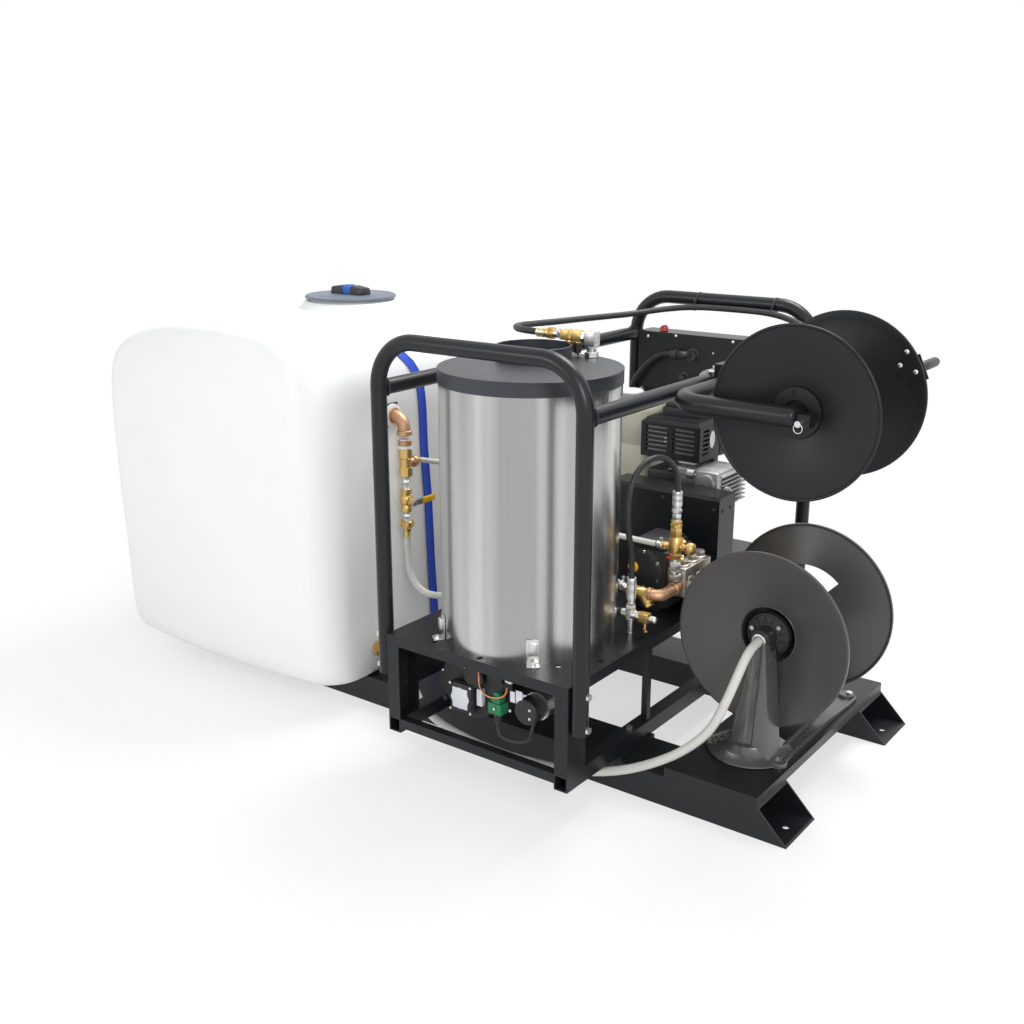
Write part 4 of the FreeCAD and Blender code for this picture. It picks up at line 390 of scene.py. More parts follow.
brass_finish = finish("brass fittings", (0.62, 0.40, 0.13), (0.76, 0.54, 0.22), 0.26, 0.2, 0.3, patch=70,
    metallic=1.0)
bronze_finish = finish("bronze castings", (0.50, 0.29, 0.17), (0.62, 0.38, 0.23), 0.36, 0.2, 0.9, patch=60,
    grain=450, metallic=1.0)
switch_plastic = finish("switch plastic", (0.012, 0.012, 0.013), (0.02, 0.02, 0.022), 0.38, 0.1, 0.2,
    patch=40)
ROW = (-195, 1150)
SWITCH_SPOTS = (320, 293)
hexagon((365, ROW[0], 1096.3), UP, 33, 15)
turned(((15, 13), (24, 13), (26, 15), (38, 15)), (365, ROW[0], 1096.3), UP, 32)
block((349.5, ROW[0] - 15.5, 1126), (381.5, ROW[0] + 15.5, 1165.5), 3.5)
turned(((0, 14.5), (3, 14.5), (4, 12)), (349.5, *ROW), REAR, 32)
hexagon((346.5, *ROW), REAR, 27, 9, 0.5)
hexagon((271.5, *ROW), REAR, 25, 11, 0.2)
turned(((0, 11.5), (12, 11.5), (13, 10.5), (15, 10.5)), (260.5, *ROW), REAR, 32)
made("outlet_row_plated", zinc_finish)
block((306, ROW[0] - 14, 1136), (337.4, ROW[0] + 14, 1164), 3.0)
turned(((0, 15.5), (4, 15.5), (5, 13)), (337.4, *ROW), REAR, 32)
turned(((0, 12), (8, 12), (9, 11)), (306, *ROW), REAR, 32)
hexagon((306, *ROW), REAR, 29, 9, 0.3)
block((271.5, ROW[0] - 13.5, 1136.5), (299, ROW[0] + 13.5, 1163.5), 2.5)
for switch_x in SWITCH_SPOTS:
    hexagon((switch_x, ROW[0], 1136.5), DOWN, 17, 7)
turned(((0, 13), (1.5, 15), (9, 15), (10, 13.5), (12, 13.5), (13, 15), (22, 15), (23.5, 13)), (246, *ROW),
    REAR, 48)
for spot in spots_round(30, (238, *ROW), 14.8, 0):
    turned(((-7, 0.6), (-5.5, 0.9), (5.5, 0.9), (7, 0.6)), spot, FRONT, 6)
made("outlet_row_brass", brass_finish, replaced="coil_outlet_fittings")
crimp((190.2, *ROW), FRONT, 13.6, 33)
made("outlet_hose_crimp", finish("yellow zinc", (0.62, 0.58, 0.36), (0.72, 0.68, 0.50), 0.28, 0.2, 0.3,
    patch=50, metallic=1.0))
for switch_x in SWITCH_SPOTS:
    turned(((0, 9), (1, 11.2), (16, 11.2), (17, 10.4), (24, 10.4), (25.5, 9.2), (25.5, 4)),
        (switch_x, ROW[0], 1129.5), DOWN, 32)
    turned(((0, 3), (6, 3)), (switch_x, ROW[0] + 3, 1104), DOWN, 16)
made("pressure_switches", switch_plastic, replaced="outlet_switches")

# Burner head under the bed: a black cast blower housing with a bolted face
# plate, motor, electrode block, fuel pump, copper oil line and short cables.
burner_black = finish("black cast housing", (0.010, 0.010, 0.011), (0.018, 0.018, 0.020), 0.45, 0.15, 0.9,
    patch=20, grain=500)
paint(burner_black, "blower_housing", "burner_motor")
paint(zinc_finish, "blower_fan", "burner_fuel_pump")
block((186, -590, 176), (262, -560.5, 262), 12)
turned(((0, 34), (3, 35), (40, 35), (43, 32), (43, 12)), (448, -560.5, 246), NEAR, 48)
turned(((0, 33), (10, 33), (11, 31), (11, 8)), (262, -572, 290), NEAR, 40)
block((300, -574, 285), (352, -560.5, 345), 3)
for spot in ((150, 190), (150, 310), (325, 190), (366, 350), (160, 350)):
    turned(((0, 7), (5, 7), (6.5, 5)), (spot[0], -560.3, spot[1]), NEAR, 20)
turned(((0, 11), (20, 11), (23, 8), (30, 6)), (344, -580, 205), DOWN, 24)
made("burner_head_parts", burner_black)
block((199, -592.2, 190), (249, -590.2, 248), 0.9)
turned(((0, 31), (1.6, 31)), (224, -590.4, 219), NEAR, 8)
block((268, -575, 205), (286, -560.4, 252), 0.8)
block((398, -600, 262), (413, -598.5, 292), 0.5)
block((418, -602, 256), (438, -600.4, 300), 0.5)
made("burner_plates", finish("white plate", (0.62, 0.64, 0.70), (0.72, 0.74, 0.78), 0.35, 0.1, 0.2, patch=20))
block((322, -596, 207), (364, -560.6, 238), 3)
block((330, -592, 236), (358, -566, 256), 4)
block((335, -588, 255), (352, -572, 266), 2)
made("electrode_block", finish("green terminal block", (0.010, 0.15, 0.055), (0.020, 0.22, 0.085), 0.36, 0.1,
    0.2, patch=30), replaced="ignition_block")
for spot in ((190, -590, 182), (258, -590, 182), (190, -590, 256), (258, -590, 256), (398, -600, 236),
        (462, -603, 256), (346, -600.4, 226), (312, -574.3, 335), (462, -603, 232)):
    turned(((0, 4.2), (1.4, 4.0), (2.6, 2.6)), spot, NEAR, 18)
turned(((0, 14), (20, 14), (22, 12), (22, 6), (32, 6), (33, 4)), (388, -570, 318), NEAR, 32)
block((232, -583, 300), (240, -560, 345), 1.5)
block((214, -580, 318), (236, -566, 324), 1)
made("burner_head_screws", zinc_finish)


def curve_through(name, route, radius, along, around):
    """Round line with open ends closed, through control points in millimetres."""
    curve = bpy.data.curves.new(name + "_line", "CURVE")
    curve.dimensions = "3D"
    curve.resolution_u = along
    curve.bevel_depth = radius / 1000
    curve.bevel_resolution = around
    curve.use_fill_caps = True
    line = curve.splines.new("NURBS")
    line.points.add(len(route) - 1)
    for knot, place in zip(line.points, route):
        knot.co = (*[value / 1000 for value in place], 1)
    line.order_u = 3
    line.use_endpoint_u = True
    return bpy.data.objects.new(name + "_tube", curve)


def fixed_line(name, route, radius, material):
    """Pipe, wire or cable fixed along the object."""
    guide = curve_through(name, route, radius, 8, 4)
    mesh = bpy.data.meshes.new_from_object(guide)
    bpy.data.objects.remove(guide)
    work.from_mesh(mesh)
    bpy.data.meshes.remove(mesh)
    return made(name, material, sharp=60)


copper = finish("copper line", (0.55, 0.22, 0.10), (0.68, 0.30, 0.15), 0.25, 0.15, 0.1, patch=60,
    metallic=1.0)
fixed_line("burner_oil_line", [(283, -585, 330), (288, -590, 300), (300, -602, 275), (330, -612, 262),
    (362, -606, 262), (388, -600, 278), (390, -603, 300)], 2.6, copper)
fixed_line("burner_cable", [(344, -580, 176), (345, -582, 160), (356, -586, 146), (392, -586, 142),
    (430, -584, 150), (452, -582, 168), (456, -580, 200), (456, -570, 214)], 5, switch_plastic)
hexagon((205, -575, 318), (0, -0.6, 0.8), 13, 12)
turned(((0, 4), (14, 4), (16, 3)), (205, -582, 328), (0, -0.6, 0.8), 20)
made("burner_oil_valve", brass_finish)
fixed_line("bed_cable", [(570, -250, 350), (572, -256, 330), (580, -240, 322), (590, -190, 326),
    (592, -120, 350)], 2.2, finish("red cable", (0.45, 0.01, 0.01), (0.6, 0.02, 0.02), 0.4, 0.1, 0.1))


# Side sheet of the bed: thin black sheet that closes the room round the
# burner head, bolted to the legs.
block((29.5, -600, 196), (31.5, 560, 375.5), 0.6)
for y in (-585, -300, 0, 300):
    turned(((0, 6), (2, 6), (4, 3)), (31.5, y, 215), FRONT, 16)
made("bed_side_sheet", frame_paint)


# Water tank: one hollow rotational moulding in natural white plastic, with
# bulging sides, wide soft corners, a sloping top and a collar under its lid.
def tank_ring(half_long, half_wide, rear, front, bulge, level, shift, steps=11):
    """One level of the moulding, as a ring of points round its plan."""
    deep, wide = half_wide - bulge - rear, half_wide - bulge - front
    corners = ((-half_long + rear, -deep, rear, 180), (half_long - front, -wide, front, 270),
        (half_long - front, wide, front, 0), (-half_long + rear, deep, rear, 90))
    spots = []
    for number, (x, y, radius, begin) in enumerate(corners):
        for step in range(steps):
            angle = math.radians(begin + 90 * step / (steps - 1))
            spots.append(on_circle((x, y), radius, angle))
        after = corners[(number + 1) % 4]
        last = spots[-1]
        ahead = on_circle(after[:2], after[2], math.radians(after[3]))
        for step in range(1, steps):
            part = step / steps
            out = (-1, 0, 1, 0)[number] * (bulge * 4 * part * (1 - part))
            spots.append((last[0] + (ahead[0] - last[0]) * part, last[1] + (ahead[1] - last[1]) * part + out))
    return [point((TANK_MIDDLE + shift + x, y, level)) for x, y in spots]


TANK_MIDDLE = -723.8
tank_finish = finish("natural white plastic", (0.78, 0.79, 0.79), (0.85, 0.86, 0.86), 0.40, 0.1, 0.25,
    patch=2.5, grain=260)
tank_levels = ((380, 520, 40, 90, 18, 84.4, 0), (424.8, 576, 50, 100, 24, 84.6, 0),
    (445, 592, 56, 106, 24, 90, 0), (456, 606, 60, 110, 22, 102, 0), (464, 618, 60, 110, 20, 124, 0),
    (467, 625, 60, 112, 18, 160, 0), (468, 630, 62, 114, 16, 260, 0), (468.4, 633, 62, 114, 16, 384, 0),
    (468.6, 637, 62, 114, 14, 560, 0), (468.6, 639.5, 62, 114, 12, 797, 0), (468.6, 637, 62, 114, 12, 880, 0),
    (468.2, 633, 64, 114, 12, 940, 0), (465, 628, 68, 114, 12, 985, 0), (457, 621, 76, 116, 12, 1018, 0),
    (443, 614, 86, 120, 12, 1044, 0), (420, 607, 98, 124, 12, 1066, 3), (386, 601, 110, 128, 12, 1086, 7),
    (338, 597, 120, 132, 12, 1104, 12), (280, 592, 128, 136, 11, 1119, 17),
    (228, 582, 134, 138, 10, 1128, 21), (196, 560, 138, 140, 9, 1133, 23),
    (176, 520, 140, 140, 8, 1135.2, 24), (168, 380, 140, 140, 6, 1136, 24))
rings = [tank_ring(*level) for level in tank_levels]
top_ring = rings[-1]
NECK_X = -699.8
for level, radius in ((1137.2, 164), (1146, 158), (1155, 150), (1158.5, 147), (1160, 142), (1160, 131),
        (1164, 130), (1165.5, 128)):
    ring = []
    for corner in top_ring:
        spot = corner.co * 1000
        angle = math.atan2(spot.y, spot.x - NECK_X)
        ring.append(point((*on_circle((NECK_X, 0), radius, angle), level)))
    rings.append(ring)
skin(rings)
for vert in work.verts:
    place = vert.co * 1000
    if 130 < place.z < 1000:
        wave = math.sin(place.x * 0.011 + place.z * 0.006) * math.sin(place.z * 0.009 + place.y * 0.004)
        vert.co -= Vector((0, math.copysign(0.0016, place.y) * (1 + wave) if abs(place.y) > 560 else 0, 0))
made("tank_moulding", tank_finish, replaced="water_tank", sharp=50)

# Tank lid: slate-blue screw lid with a fine groove, two black grip blocks and
# a blue catch between them.
lid_plastic = finish("slate lid plastic", (0.10, 0.13, 0.17), (0.14, 0.17, 0.22), 0.36, 0.12, 0.25, patch=12)
black_plastic = finish("black plastic", (0.016, 0.017, 0.020), (0.028, 0.030, 0.034), 0.38, 0.15, 0.5,
    patch=20)
LID_X = -700
turned(((1148.5, 117), (1166.5, 117), (1166.6, 145), (1168.5, 147.6), (1171.5, 147.9), (1174.6, 146.4),
    (1176.2, 142.5), (1176.6, 120), (1175.7, 118.6), (1176.6, 117.2), (1177.6, 40), (1177.8, 10)),
    (LID_X, 0, 0), UP, 120)
made("tank_lid_disc", lid_plastic, body="tank_lid", replaced="tank_lid")
for side in (-1, 1):
    verts = block((LID_X + side * 43 - 26, -25, 1174), (LID_X + side * 43 + 26, 25, 1205.5), 8)
    for vert in verts:
        place = vert.co * 1000
        if place.z > 1190 and side * (place.x - LID_X) > 52:
            vert.co.z -= 0.005
        if place.z > 1185:
            vert.co.y -= place.y * 0.00014
made("tank_lid_grips", black_plastic, body="tank_lid")
block((-717, -21.6, 1178.2), (-683, 21.6, 1204), 4)
block((-709, -12, 1202), (-691, 12, 1207.5), 2.5)
made("tank_lid_catch", finish("blue plastic", (0.02, 0.12, 0.52), (0.03, 0.16, 0.6), 0.3, 0.1, 0.2),
    body="tank_lid_latch", replaced="tank_lid_latch")


# Tank strap: woven royal-blue webbing drawn down the tank's front face, with
# a raised stitched edge on each side.
def heading(line, number):
    """Direction of a line of points at one of them."""
    after, before = line[min(number + 1, len(line) - 1)], line[max(number - 1, 0)]
    return (Vector(after) - Vector(before)).normalized()


webbing = finish("blue webbing", (0.015, 0.055, 0.46), (0.022, 0.080, 0.56), 0.62, 0.12, 0.6, patch=60,
    grain=420)
strap_line = ((-252.6, -123, 130), (-252.6, -132, 212), (-252.2, -144, 390), (-252.2, -152, 588),
    (-252.4, -166, 749), (-252.8, -169, 870), (-253.0, -172, 914), (-253.4, -177, 946), (-256.6, -188, 985),
    (-264.6, -205, 1018), (-278.4, -225, 1044), (-297.2, -245, 1065), (-313, -256, 1070))
band = ((-17, 0.2), (-16, 1.6), (-14, 1.9), (-13.5, 1.4), (-5, 1.5), (5, 1.5), (13.5, 1.4), (14, 1.9),
    (16, 1.6), (17, 0.2), (17, -1.0), (-17, -1.0))
strap_rows = []
for number, spot in enumerate(strap_line):
    ahead = heading(strap_line, number)
    across = Vector(FAR) - ahead * ahead.y
    across.normalize()
    proud = ahead.cross(across)
    if proud.x < 0:
        proud = -proud
    strap_rows.append([point(Vector(spot) + across * step + proud * lift) for step, lift in band])
skin(strap_rows)
made("tank_webbing", webbing, replaced="tank_strap", sharp=60)

# Tank outlet: white bulkhead ring, bronze elbow, brass tee with a side barb,
# plated nipples, and a threaded fill fitting low on the tank's front.
PIPE = (-200, -312)
turned(((0, 33), (4, 34), (12, 34), (14, 31), (14, 20)), (-254.4, PIPE[1], 883), FRONT, 48)
turned(((0, 19), (9, 19), (10, 17)), (*PIPE, 800), DOWN, 32)
turned(((0, 17), (4, 17)), (*PIPE, 819), DOWN, 32)
made("outlet_seals", tank_finish)
block((-254.5, -350, 850), (-248, -284, 919), 3)
made("outlet_bracket", black_plastic)
elbow((*PIPE, 883), FRONT, DOWN, 18.5, 40, 40, 16)
turned(((0, 20), (1, 22.5), (8, 22.5), (9, 20)), (-243, PIPE[1], 883), FRONT, 40)
turned(((0, 19), (2, 22.5), (13, 23), (15, 20)), (*PIPE, 845), DOWN, 40)
turned(((0, 18), (1, 20), (13, 20), (15, 18)), (*PIPE, 815.5), DOWN, 40)
turned(((0, 14), (18, 14), (19, 17.5), (28, 17.5), (29, 15)), (PIPE[0], -300, 745), FAR, 36)
made("outlet_elbow", bronze_finish, sharp=40)
hexagon((*PIPE, 790), DOWN, 35, 28, 0.25)
turned(((0, 17), (1, 18), (28, 18), (29, 17)), (*PIPE, 762), DOWN, 40)
hexagon((*PIPE, 734), DOWN, 35, 27, 0.25)
hexagon((PIPE[0], -271, 745), FAR, 24, 9, 0.2)
turned(((0, 8), (8, 8), (9, 9.4), (10.5, 8)), (PIPE[0], -262, 745), FAR, 24)
hexagon((-254.4, -400, 180), FRONT, 41, 13, 0.3)
turned(((0, 14), (10, 14), (11, 12), (28, 12), (29, 11)), (-241.4, -400, 180), FRONT, 32)
made("outlet_brass", brass_finish, replaced="tank_outlet_fittings", sharp=40)
thread((*PIPE, 707), DOWN, 13.5, 12)
hexagon((*PIPE, 696), DOWN, 26, 14)
thread((*PIPE, 682), DOWN, 13.5, 12)
thread((*PIPE, 600), DOWN, 12.5, 10)
hexagon((*PIPE, 591), DOWN, 25, 12)
thread((*PIPE, 580), DOWN, 12.5, 10)
made("outlet_nipples", zinc_finish, sharp=40)

# Ball valve and its lever: forged brass body between two nipples, a knurled
# ring nut over the hose end, and a plated lever in a yellow plastic sleeve.
turned(((0, 15.5), (1, 16.5), (14, 16.5), (16, 15), (20, 15), (24, 18.5), (34, 20), (44, 18.5), (48, 15),
    (52, 15), (54, 16.5), (69, 16.5), (70.5, 15)), (*PIPE, 670), DOWN, 48)
turned(((0, 11), (15, 11), (16, 9.5), (17, 9.5)), (PIPE[0] + 14, PIPE[1], 630), FRONT, 32)
turned(((0, 17), (2, 19.5), (12, 20), (16, 20), (20, 18), (23, 14), (30, 13)), (*PIPE, 571), DOWN, 48)
for spot in spots_round(10, (*PIPE, 563), 19.6, 2):
    turned(((-8, 1.2), (-6, 2.2), (6, 2.2), (8, 1.2)), spot, UP, 8)
made("ball_valve_brass", brass_finish, replaced="ball_valve", sharp=40)
crimp((*PIPE, 521.2), UP, 12.2, 22)
made("tank_hose_crimp", finish("yellow zinc sleeve", (0.62, 0.50, 0.16), (0.74, 0.63, 0.28), 0.26, 0.2, 0.3,
    patch=50, metallic=1.0))
turned(((0, 5), (14, 5), (14.1, 8), (18.5, 8), (19, 6.5)), (-183, PIPE[1], 630), FRONT, 24)
hexagon((-170.5, PIPE[1], 630), FRONT, 13, 6.4)
block((-168.2, -321.5, 621), (-165.8, -270, 639), 0.9)
made("valve_lever_steel", zinc_finish, body="valve_lever", replaced="valve_lever", sharp=40)
block((-171, -276, 620.6), (-163.4, -222.3, 639.4), 3.2)
for groove in range(5):
    block((-171.6, -268 + groove * 9, 625), (-162.9, -264.5 + groove * 9, 635), 1.2)
made("valve_lever_sleeve", finish("yellow vinyl", (0.80, 0.42, 0.008), (0.88, 0.50, 0.012), 0.32, 0.1, 0.2,
    patch=30), body="valve_lever")

# Belt guard, pulleys and belts: folded black sheet held by round-head screws,
# grey iron pulleys on their shafts and two ribbed rubber belts.
paint(frame_paint, "belt_guard")
iron_finish = finish("turned iron", (0.20, 0.20, 0.21), (0.30, 0.30, 0.31), 0.32, 0.2, 0.4, patch=40,
    metallic=1.0)
rubber = finish("black rubber", (0.010, 0.010, 0.011), (0.017, 0.017, 0.018), 0.50, 0.15, 0.4, patch=30,
    grain=700)
paint(iron_finish, "pump_pulley", "drive_pulley")
paint(rubber, "drive_belts")
for spot in ((596, 645), (596, 420), (266, 645), (430, 655), (266, 420)):
    turned(((0, 6.5), (1.2, 6.3), (2.8, 4.6), (3.4, 2)), (spot[0], 100, spot[1]), NEAR, 24)
for spot in ((125, 640), (172, 640), (125, 420), (172, 420)):
    turned(((0, 6.5), (1.2, 6.3), (2.6, 4.6)), (613, *spot), FRONT, 24)
made("guard_screws", black_plastic, sharp=40)

# Pump: black cast crankcase with cooling ribs and a raised cover, plastic oil
# gauge and star cap, and a nickel-plated manifold with six valve caps.
pump_paint = finish("black pump casting", (0.014, 0.014, 0.016), (0.024, 0.024, 0.027), 0.36, 0.15, 0.9,
    patch=20, grain=420)
nickel = finish("nickel plated casting", (0.46, 0.42, 0.37), (0.60, 0.56, 0.50), 0.27, 0.2, 0.6, patch=50,
    grain=400, metallic=1.0)
block((436, -92, 392), (558, 58, 560), 9)
BED_TOP = 379.4
block((426, -86, BED_TOP), (535, 40, 402), 4)
block((444, -86, 556), (548, 46, 575), 8)
block((450, -78, 571), (541, 38, 583), 5)
turned(((0, 60), (6, 58), (10, 46), (34, 45), (41, 45)), (500, 58, 500), FAR, 48)
turned(((0, 56), (6, 55), (9, 50), (10.5, 30), (10.5, 8)), (488, -88, 500), NEAR, 64)
turned(((0, 10), (2, 13), (20, 13.5), (24, 10)), (520, -72, 560), (0.55, 0, 0.8), 32)
for number in range(9):
    level = 412 + number * 15
    block((432.5, -80, level), (438, 50, level + 4), 1.2)
for number in range(6):
    block((452 + number * 16, -92.5, 402), (457 + number * 16, -88.5, 440), 1)
made("pump_case", pump_paint, replaced="pump_crankcase")
for spot in spots_round(6, (488, -94, 500), 51, 1, 0.5):
    hexagon(spot, NEAR, 9, 5)
for spot in ((440, 386), (525, 386)):
    turned(((0, 9), (2, 9)), (spot[0], -70, 402), UP, 20)
    hexagon((spot[0], -70, 404), UP, 13, 7)
made("pump_screws", zinc_finish, sharp=40)
turned(((0, 8), (3, 8), (3.2, 14), (5, 15), (12, 15), (13.7, 13), (13.7, 5)), (460, -98.3, 505), NEAR, 40)
for spot in spots_round(8, (460, -107, 505), 12.6, 1):
    turned(((-4.5, 2.2), (-4, 2.8), (4, 2.8), (4.6, 2.0)), spot, FAR, 10)
made("oil_cap_star", finish("yellow plastic", (0.78, 0.40, 0.010), (0.86, 0.50, 0.014), 0.30, 0.1, 0.2,
    patch=30), body="oil_cap", replaced="oil_cap")
block((560.4, -94, 441), (618, 55, 526), 6)
for number in range(3):
    y = -66 + 47 * number
    turned(((0, 20), (8, 20), (10, 17)), (594, y, 522), UP, 40)
    hexagon((594, y, 531), UP, 27, 15, 0.3)
    turned(((0, 19), (5, 19), (7, 16)), (616, y, 470), FRONT, 40)
    hexagon((622, y, 470), FRONT, 27, 14, 0.3)
    turned(((0, 15), (30, 15)), (577, y + 22, 460), UP, 32)
    block((600, y - 12, 445), (622, y + 12, 500), 5)
made("manifold_casting", nickel, replaced="pump_manifold", sharp=40)

# Unloader: forged brass body on the manifold with a hose barb to the rear, a
# brass adjusting branch with its knob, and plated fittings above and below.
UNLOADER = (596, -116)
hexagon((*UNLOADER, 560), UP, 30, 18, 0.2)
turned(((0, 15), (4, 18), (22, 20), (40, 18), (46, 14.5), (50, 14.5)), (*UNLOADER, 576), UP, 48)
hexagon((*UNLOADER, 622), UP, 29.4, 26, 0.2)
turned(((0, 14), (1, 15.5), (9, 15.5), (10, 14)), (*UNLOADER, 648), UP, 40)
hexagon((*UNLOADER, 658), UP, 26, 11, 0.5)
turned(((0, 12), (14, 12), (15, 10)), (UNLOADER[0] - 12, UNLOADER[1], 590), REAR, 32)
hexagon((UNLOADER[0] - 27, UNLOADER[1], 590), REAR, 21, 9, 0.2)
turned(((0, 7), (4, 9), (8, 7), (12, 9), (16, 7), (20, 9), (24, 7)), (UNLOADER[0] - 36, UNLOADER[1], 590),
    REAR, 28)
turned(((0, 13), (10, 13), (12, 11), (20, 11), (22, 9), (33.8, 9)), (*UNLOADER, 595), FRONT, 32)
turned(((0, 9), (6, 12), (16, 12)), (600, -100, 596), (0.5, 0.7, 0.5), 28)
turned(((0, 10), (8, 10), (9, 12), (16, 12), (17, 10)), (598, -110, 560), (0.8, 0.6, -0.2), 28)
made("unloader_body", brass_finish, replaced="unloader_valve", sharp=40)
hexagon((*UNLOADER, 495), UP, 26, 20, 0.2)
turned(((0, 12.5), (3, 14), (10, 14), (12, 12)), (*UNLOADER, 515), UP, 32)
hexagon((*UNLOADER, 527), UP, 28, 25, 0.4)
turned(((0, 13), (8, 13)), (*UNLOADER, 552), UP, 32)
turned(((0, 11), (3, 11)), (*UNLOADER, 669), UP, 32)
hexagon((*UNLOADER, 672), UP, 23, 13, 0.1)
turned(((0, 10), (4, 10)), (*UNLOADER, 685), UP, 32)
hexagon((*UNLOADER, 689), UP, 24, 12, 0.6)
crimp((*UNLOADER, 749.8), DOWN, 13.4, 49)
turned(((0, 11), (1, 12), (14, 12), (15, 11)), (556, -116, 590), REAR, 28, start=0.2)
block((546, -121, 600), (555, -111, 611), 1.5)
turned(((0, 12), (18, 12), (18, 10)), (*UNLOADER, 505), FAR, 28)
made("unloader_fittings", zinc_finish, sharp=40)
turned(((0, 11), (2, 15), (6, 16.6), (17, 16.6), (20, 14.5), (22, 9)), (630.3, UNLOADER[1], 595), FRONT, 40)
for spot in spots_round(12, (642, UNLOADER[1], 595), 15.9, 0):
    turned(((-5.5, 0.8), (-5, 1.4), (5, 1.4), (5.5, 0.8)), spot, FRONT, 8)
made("unloader_adjuster", brass_finish, body="unloader_knob", replaced="unloader_knob", sharp=40)
turned(((0, 4.5), (4, 4.5), (5, 3)), (586, -134, 566), NEAR, 20)
made("unloader_seal", finish("red plastic", (0.55, 0.012, 0.02), (0.65, 0.02, 0.03), 0.3, 0.1, 0.2))

# Inlet strainer row: plated barb, bronze nipple, brass Y body with its angled
# bowl, and a beaded bronze elbow turning into the manifold.
INLET = (-195, 472)
elbow((596, *INLET), FRONT, FAR, 16.5, 26, 36, 12)
turned(((0, 17), (1, 19), (7, 19), (8.5, 17)), (566, *INLET), FRONT, 36)
turned(((0, 16), (44, 16), (46, 18.8), (58, 18.8), (60, 16), (74, 16)), (596, -169, 472), FAR, 36)
turned(((0, 12), (3, 14), (14, 14), (17, 12)), (497, *INLET), FRONT, 32)
made("inlet_elbow", bronze_finish, replaced="inlet_strainer", sharp=40)
hexagon((513, *INLET), FRONT, 32, 12, 0.2)
turned(((0, 16), (3, 17), (24, 17), (28, 15.5), (32, 15.5)), (525, *INLET), FRONT, 40)
hexagon((556, *INLET), FRONT, 32, 12, 0.4)
turned(((0, 14), (20, 14), (22, 15), (28, 15)), (548, -198, 470), (0.62, -0.15, -0.75), 36)
hexagon((565, -202, 449.5), (0.62, -0.15, -0.75), 23, 12, 0.2)
made("inlet_strainer_body", brass_finish, sharp=40)
hexagon((499, -194.4, 472), (-0.866, 0.5, 0), 24, 9, 0.1)
turned(((0, 8), (3, 9.5), (7, 8), (10, 9.5), (14, 8), (17, 9.5), (20, 8), (24, 8)), (491.2, -189.9, 472),
    (-0.866, 0.5, 0), 28)
turned(((0, 12), (1, 12.6), (11, 12.6), (12, 12)), (470.5, -178, 472), (-0.866, 0.5, 0), 32)
block((459, -168, 483), (468, -158, 494), 1.5)
made("inlet_barb", zinc_finish, sharp=40)

# Pressure outlet: crimped hose end in a plated tee, with a brass relief block,
# its pull pin and a plug, and a black hose stub on the rear side.
TEE = (548, -262)
turned(((-14, 13), (-12, 15), (12, 15), (14, 13)), (*TEE, 432), UP, 36)
turned(((-24, 12), (-10, 14), (10, 14), (22, 12)), (*TEE, 432), FRONT, 36)
hexagon((*TEE, 444), UP, 25, 16, 0.3)
crimp((*TEE, 536), DOWN, 13.2, 72)
hexagon((TEE[0] + 20, TEE[1], 432), FRONT, 24, 9, 0.2)
turned(((0, 8.5), (4, 9), (15, 9), (18, 7), (20, 3)), (TEE[0] + 60, TEE[1], 432), FRONT, 28)
hexagon((TEE[0] + 62, TEE[1], 432), FRONT, 16, 5, 0.2)
turned(((0, 9), (2, 9), (2, 8), (53, 8)), (*TEE, BED_TOP), UP, 28)
made("outlet_tee", zinc_finish, replaced="pressure_outlet_tee", sharp=40)
block((TEE[0] + 29, TEE[1] - 13, 419.5), (TEE[0] + 58, TEE[1] + 13, 445), 2.5)
turned(((0, 4), (16, 4), (16.2, 3), (30, 3)), (TEE[0] + 45, TEE[1], 421), DOWN, 20)
turned(((-11, 2.6), (11, 2.6)), (TEE[0] + 45, TEE[1], 397), (0.8, -0.6, 0), 16)
made("relief_block", brass_finish, sharp=40)
turned(((0, 11), (1, 12), (12, 12), (13, 10), (27, 10)), (TEE[0] - 21, TEE[1], 432), REAR, 32)
made("outlet_stub", rubber, sharp=40)

# Engine: grey cast crankcase, finned barrel and head, black cooling shroud
# with bolts, springs and links of the governor, and a ribbed recoil cover.
alloy = finish("cast alloy", (0.34, 0.345, 0.35), (0.46, 0.465, 0.47), 0.38, 0.2, 0.9, patch=25, grain=380,
    metallic=1.0)
block((266, 216, 396), (524, 389, 600), 14)
block((280, 222, BED_TOP), (512, 382, 398), 4)
turned(((0, 40), (4, 40), (6, 60), (18, 78), (19, 60)), (360, 197.4, 560), FAR, 64)
block((386, 240, 598), (540, 380, 716), 10)
for number in range(8):
    block((372, 228, 612 + 13 * number), (554, 386, 616 + 13 * number), 1.5)
turned(((0, 30), (6, 30), (10, 26), (34, 24), (36, 18)), (518, 300, 470), FRONT, 40)
block((500, 240, 540), (552, 330, 610), 9)
turned(((0, 20), (16, 20), (20, 16)), (545, 262, 655), (0.7, -0.7, 0), 32)
block((474, 205, 636), (550, 240, 722), 12)
turned(((0, 27), (7, 27), (10, 24), (12, 12)), (516, 205, 688), NEAR, 40)
turned(((0, 14), (20, 14), (24, 10)), (468, 214, 705), (-1, -0.2, 0.1), 28)
made("engine_casting", alloy, replaced="engine_block")
block((300, 226, 600), (400, 384, 700), 12)
block((270, 206, 420), (330, 217, 520), 4)
for number in range(4):
    block((476 + 16 * number, 216, 620), (482 + 16 * number, 226, 700), 2)
block((252, 388, 724), (462, 512, 858), 12)
block((260, 396, 856), (454, 504, 872), 6)
block((404, 366, 700), (452, 400, 752), 6)
made("engine_shroud", black_plastic)
for spot in ((290, 420), (420, 420), (290, 484), (420, 484), (355, 452)):
    turned(((0, 12), (1.2, 12), (1.3, 6), (3, 6)), (*spot, 871.6), UP, 24)
    hexagon((*spot, 873), UP, 11, 5)
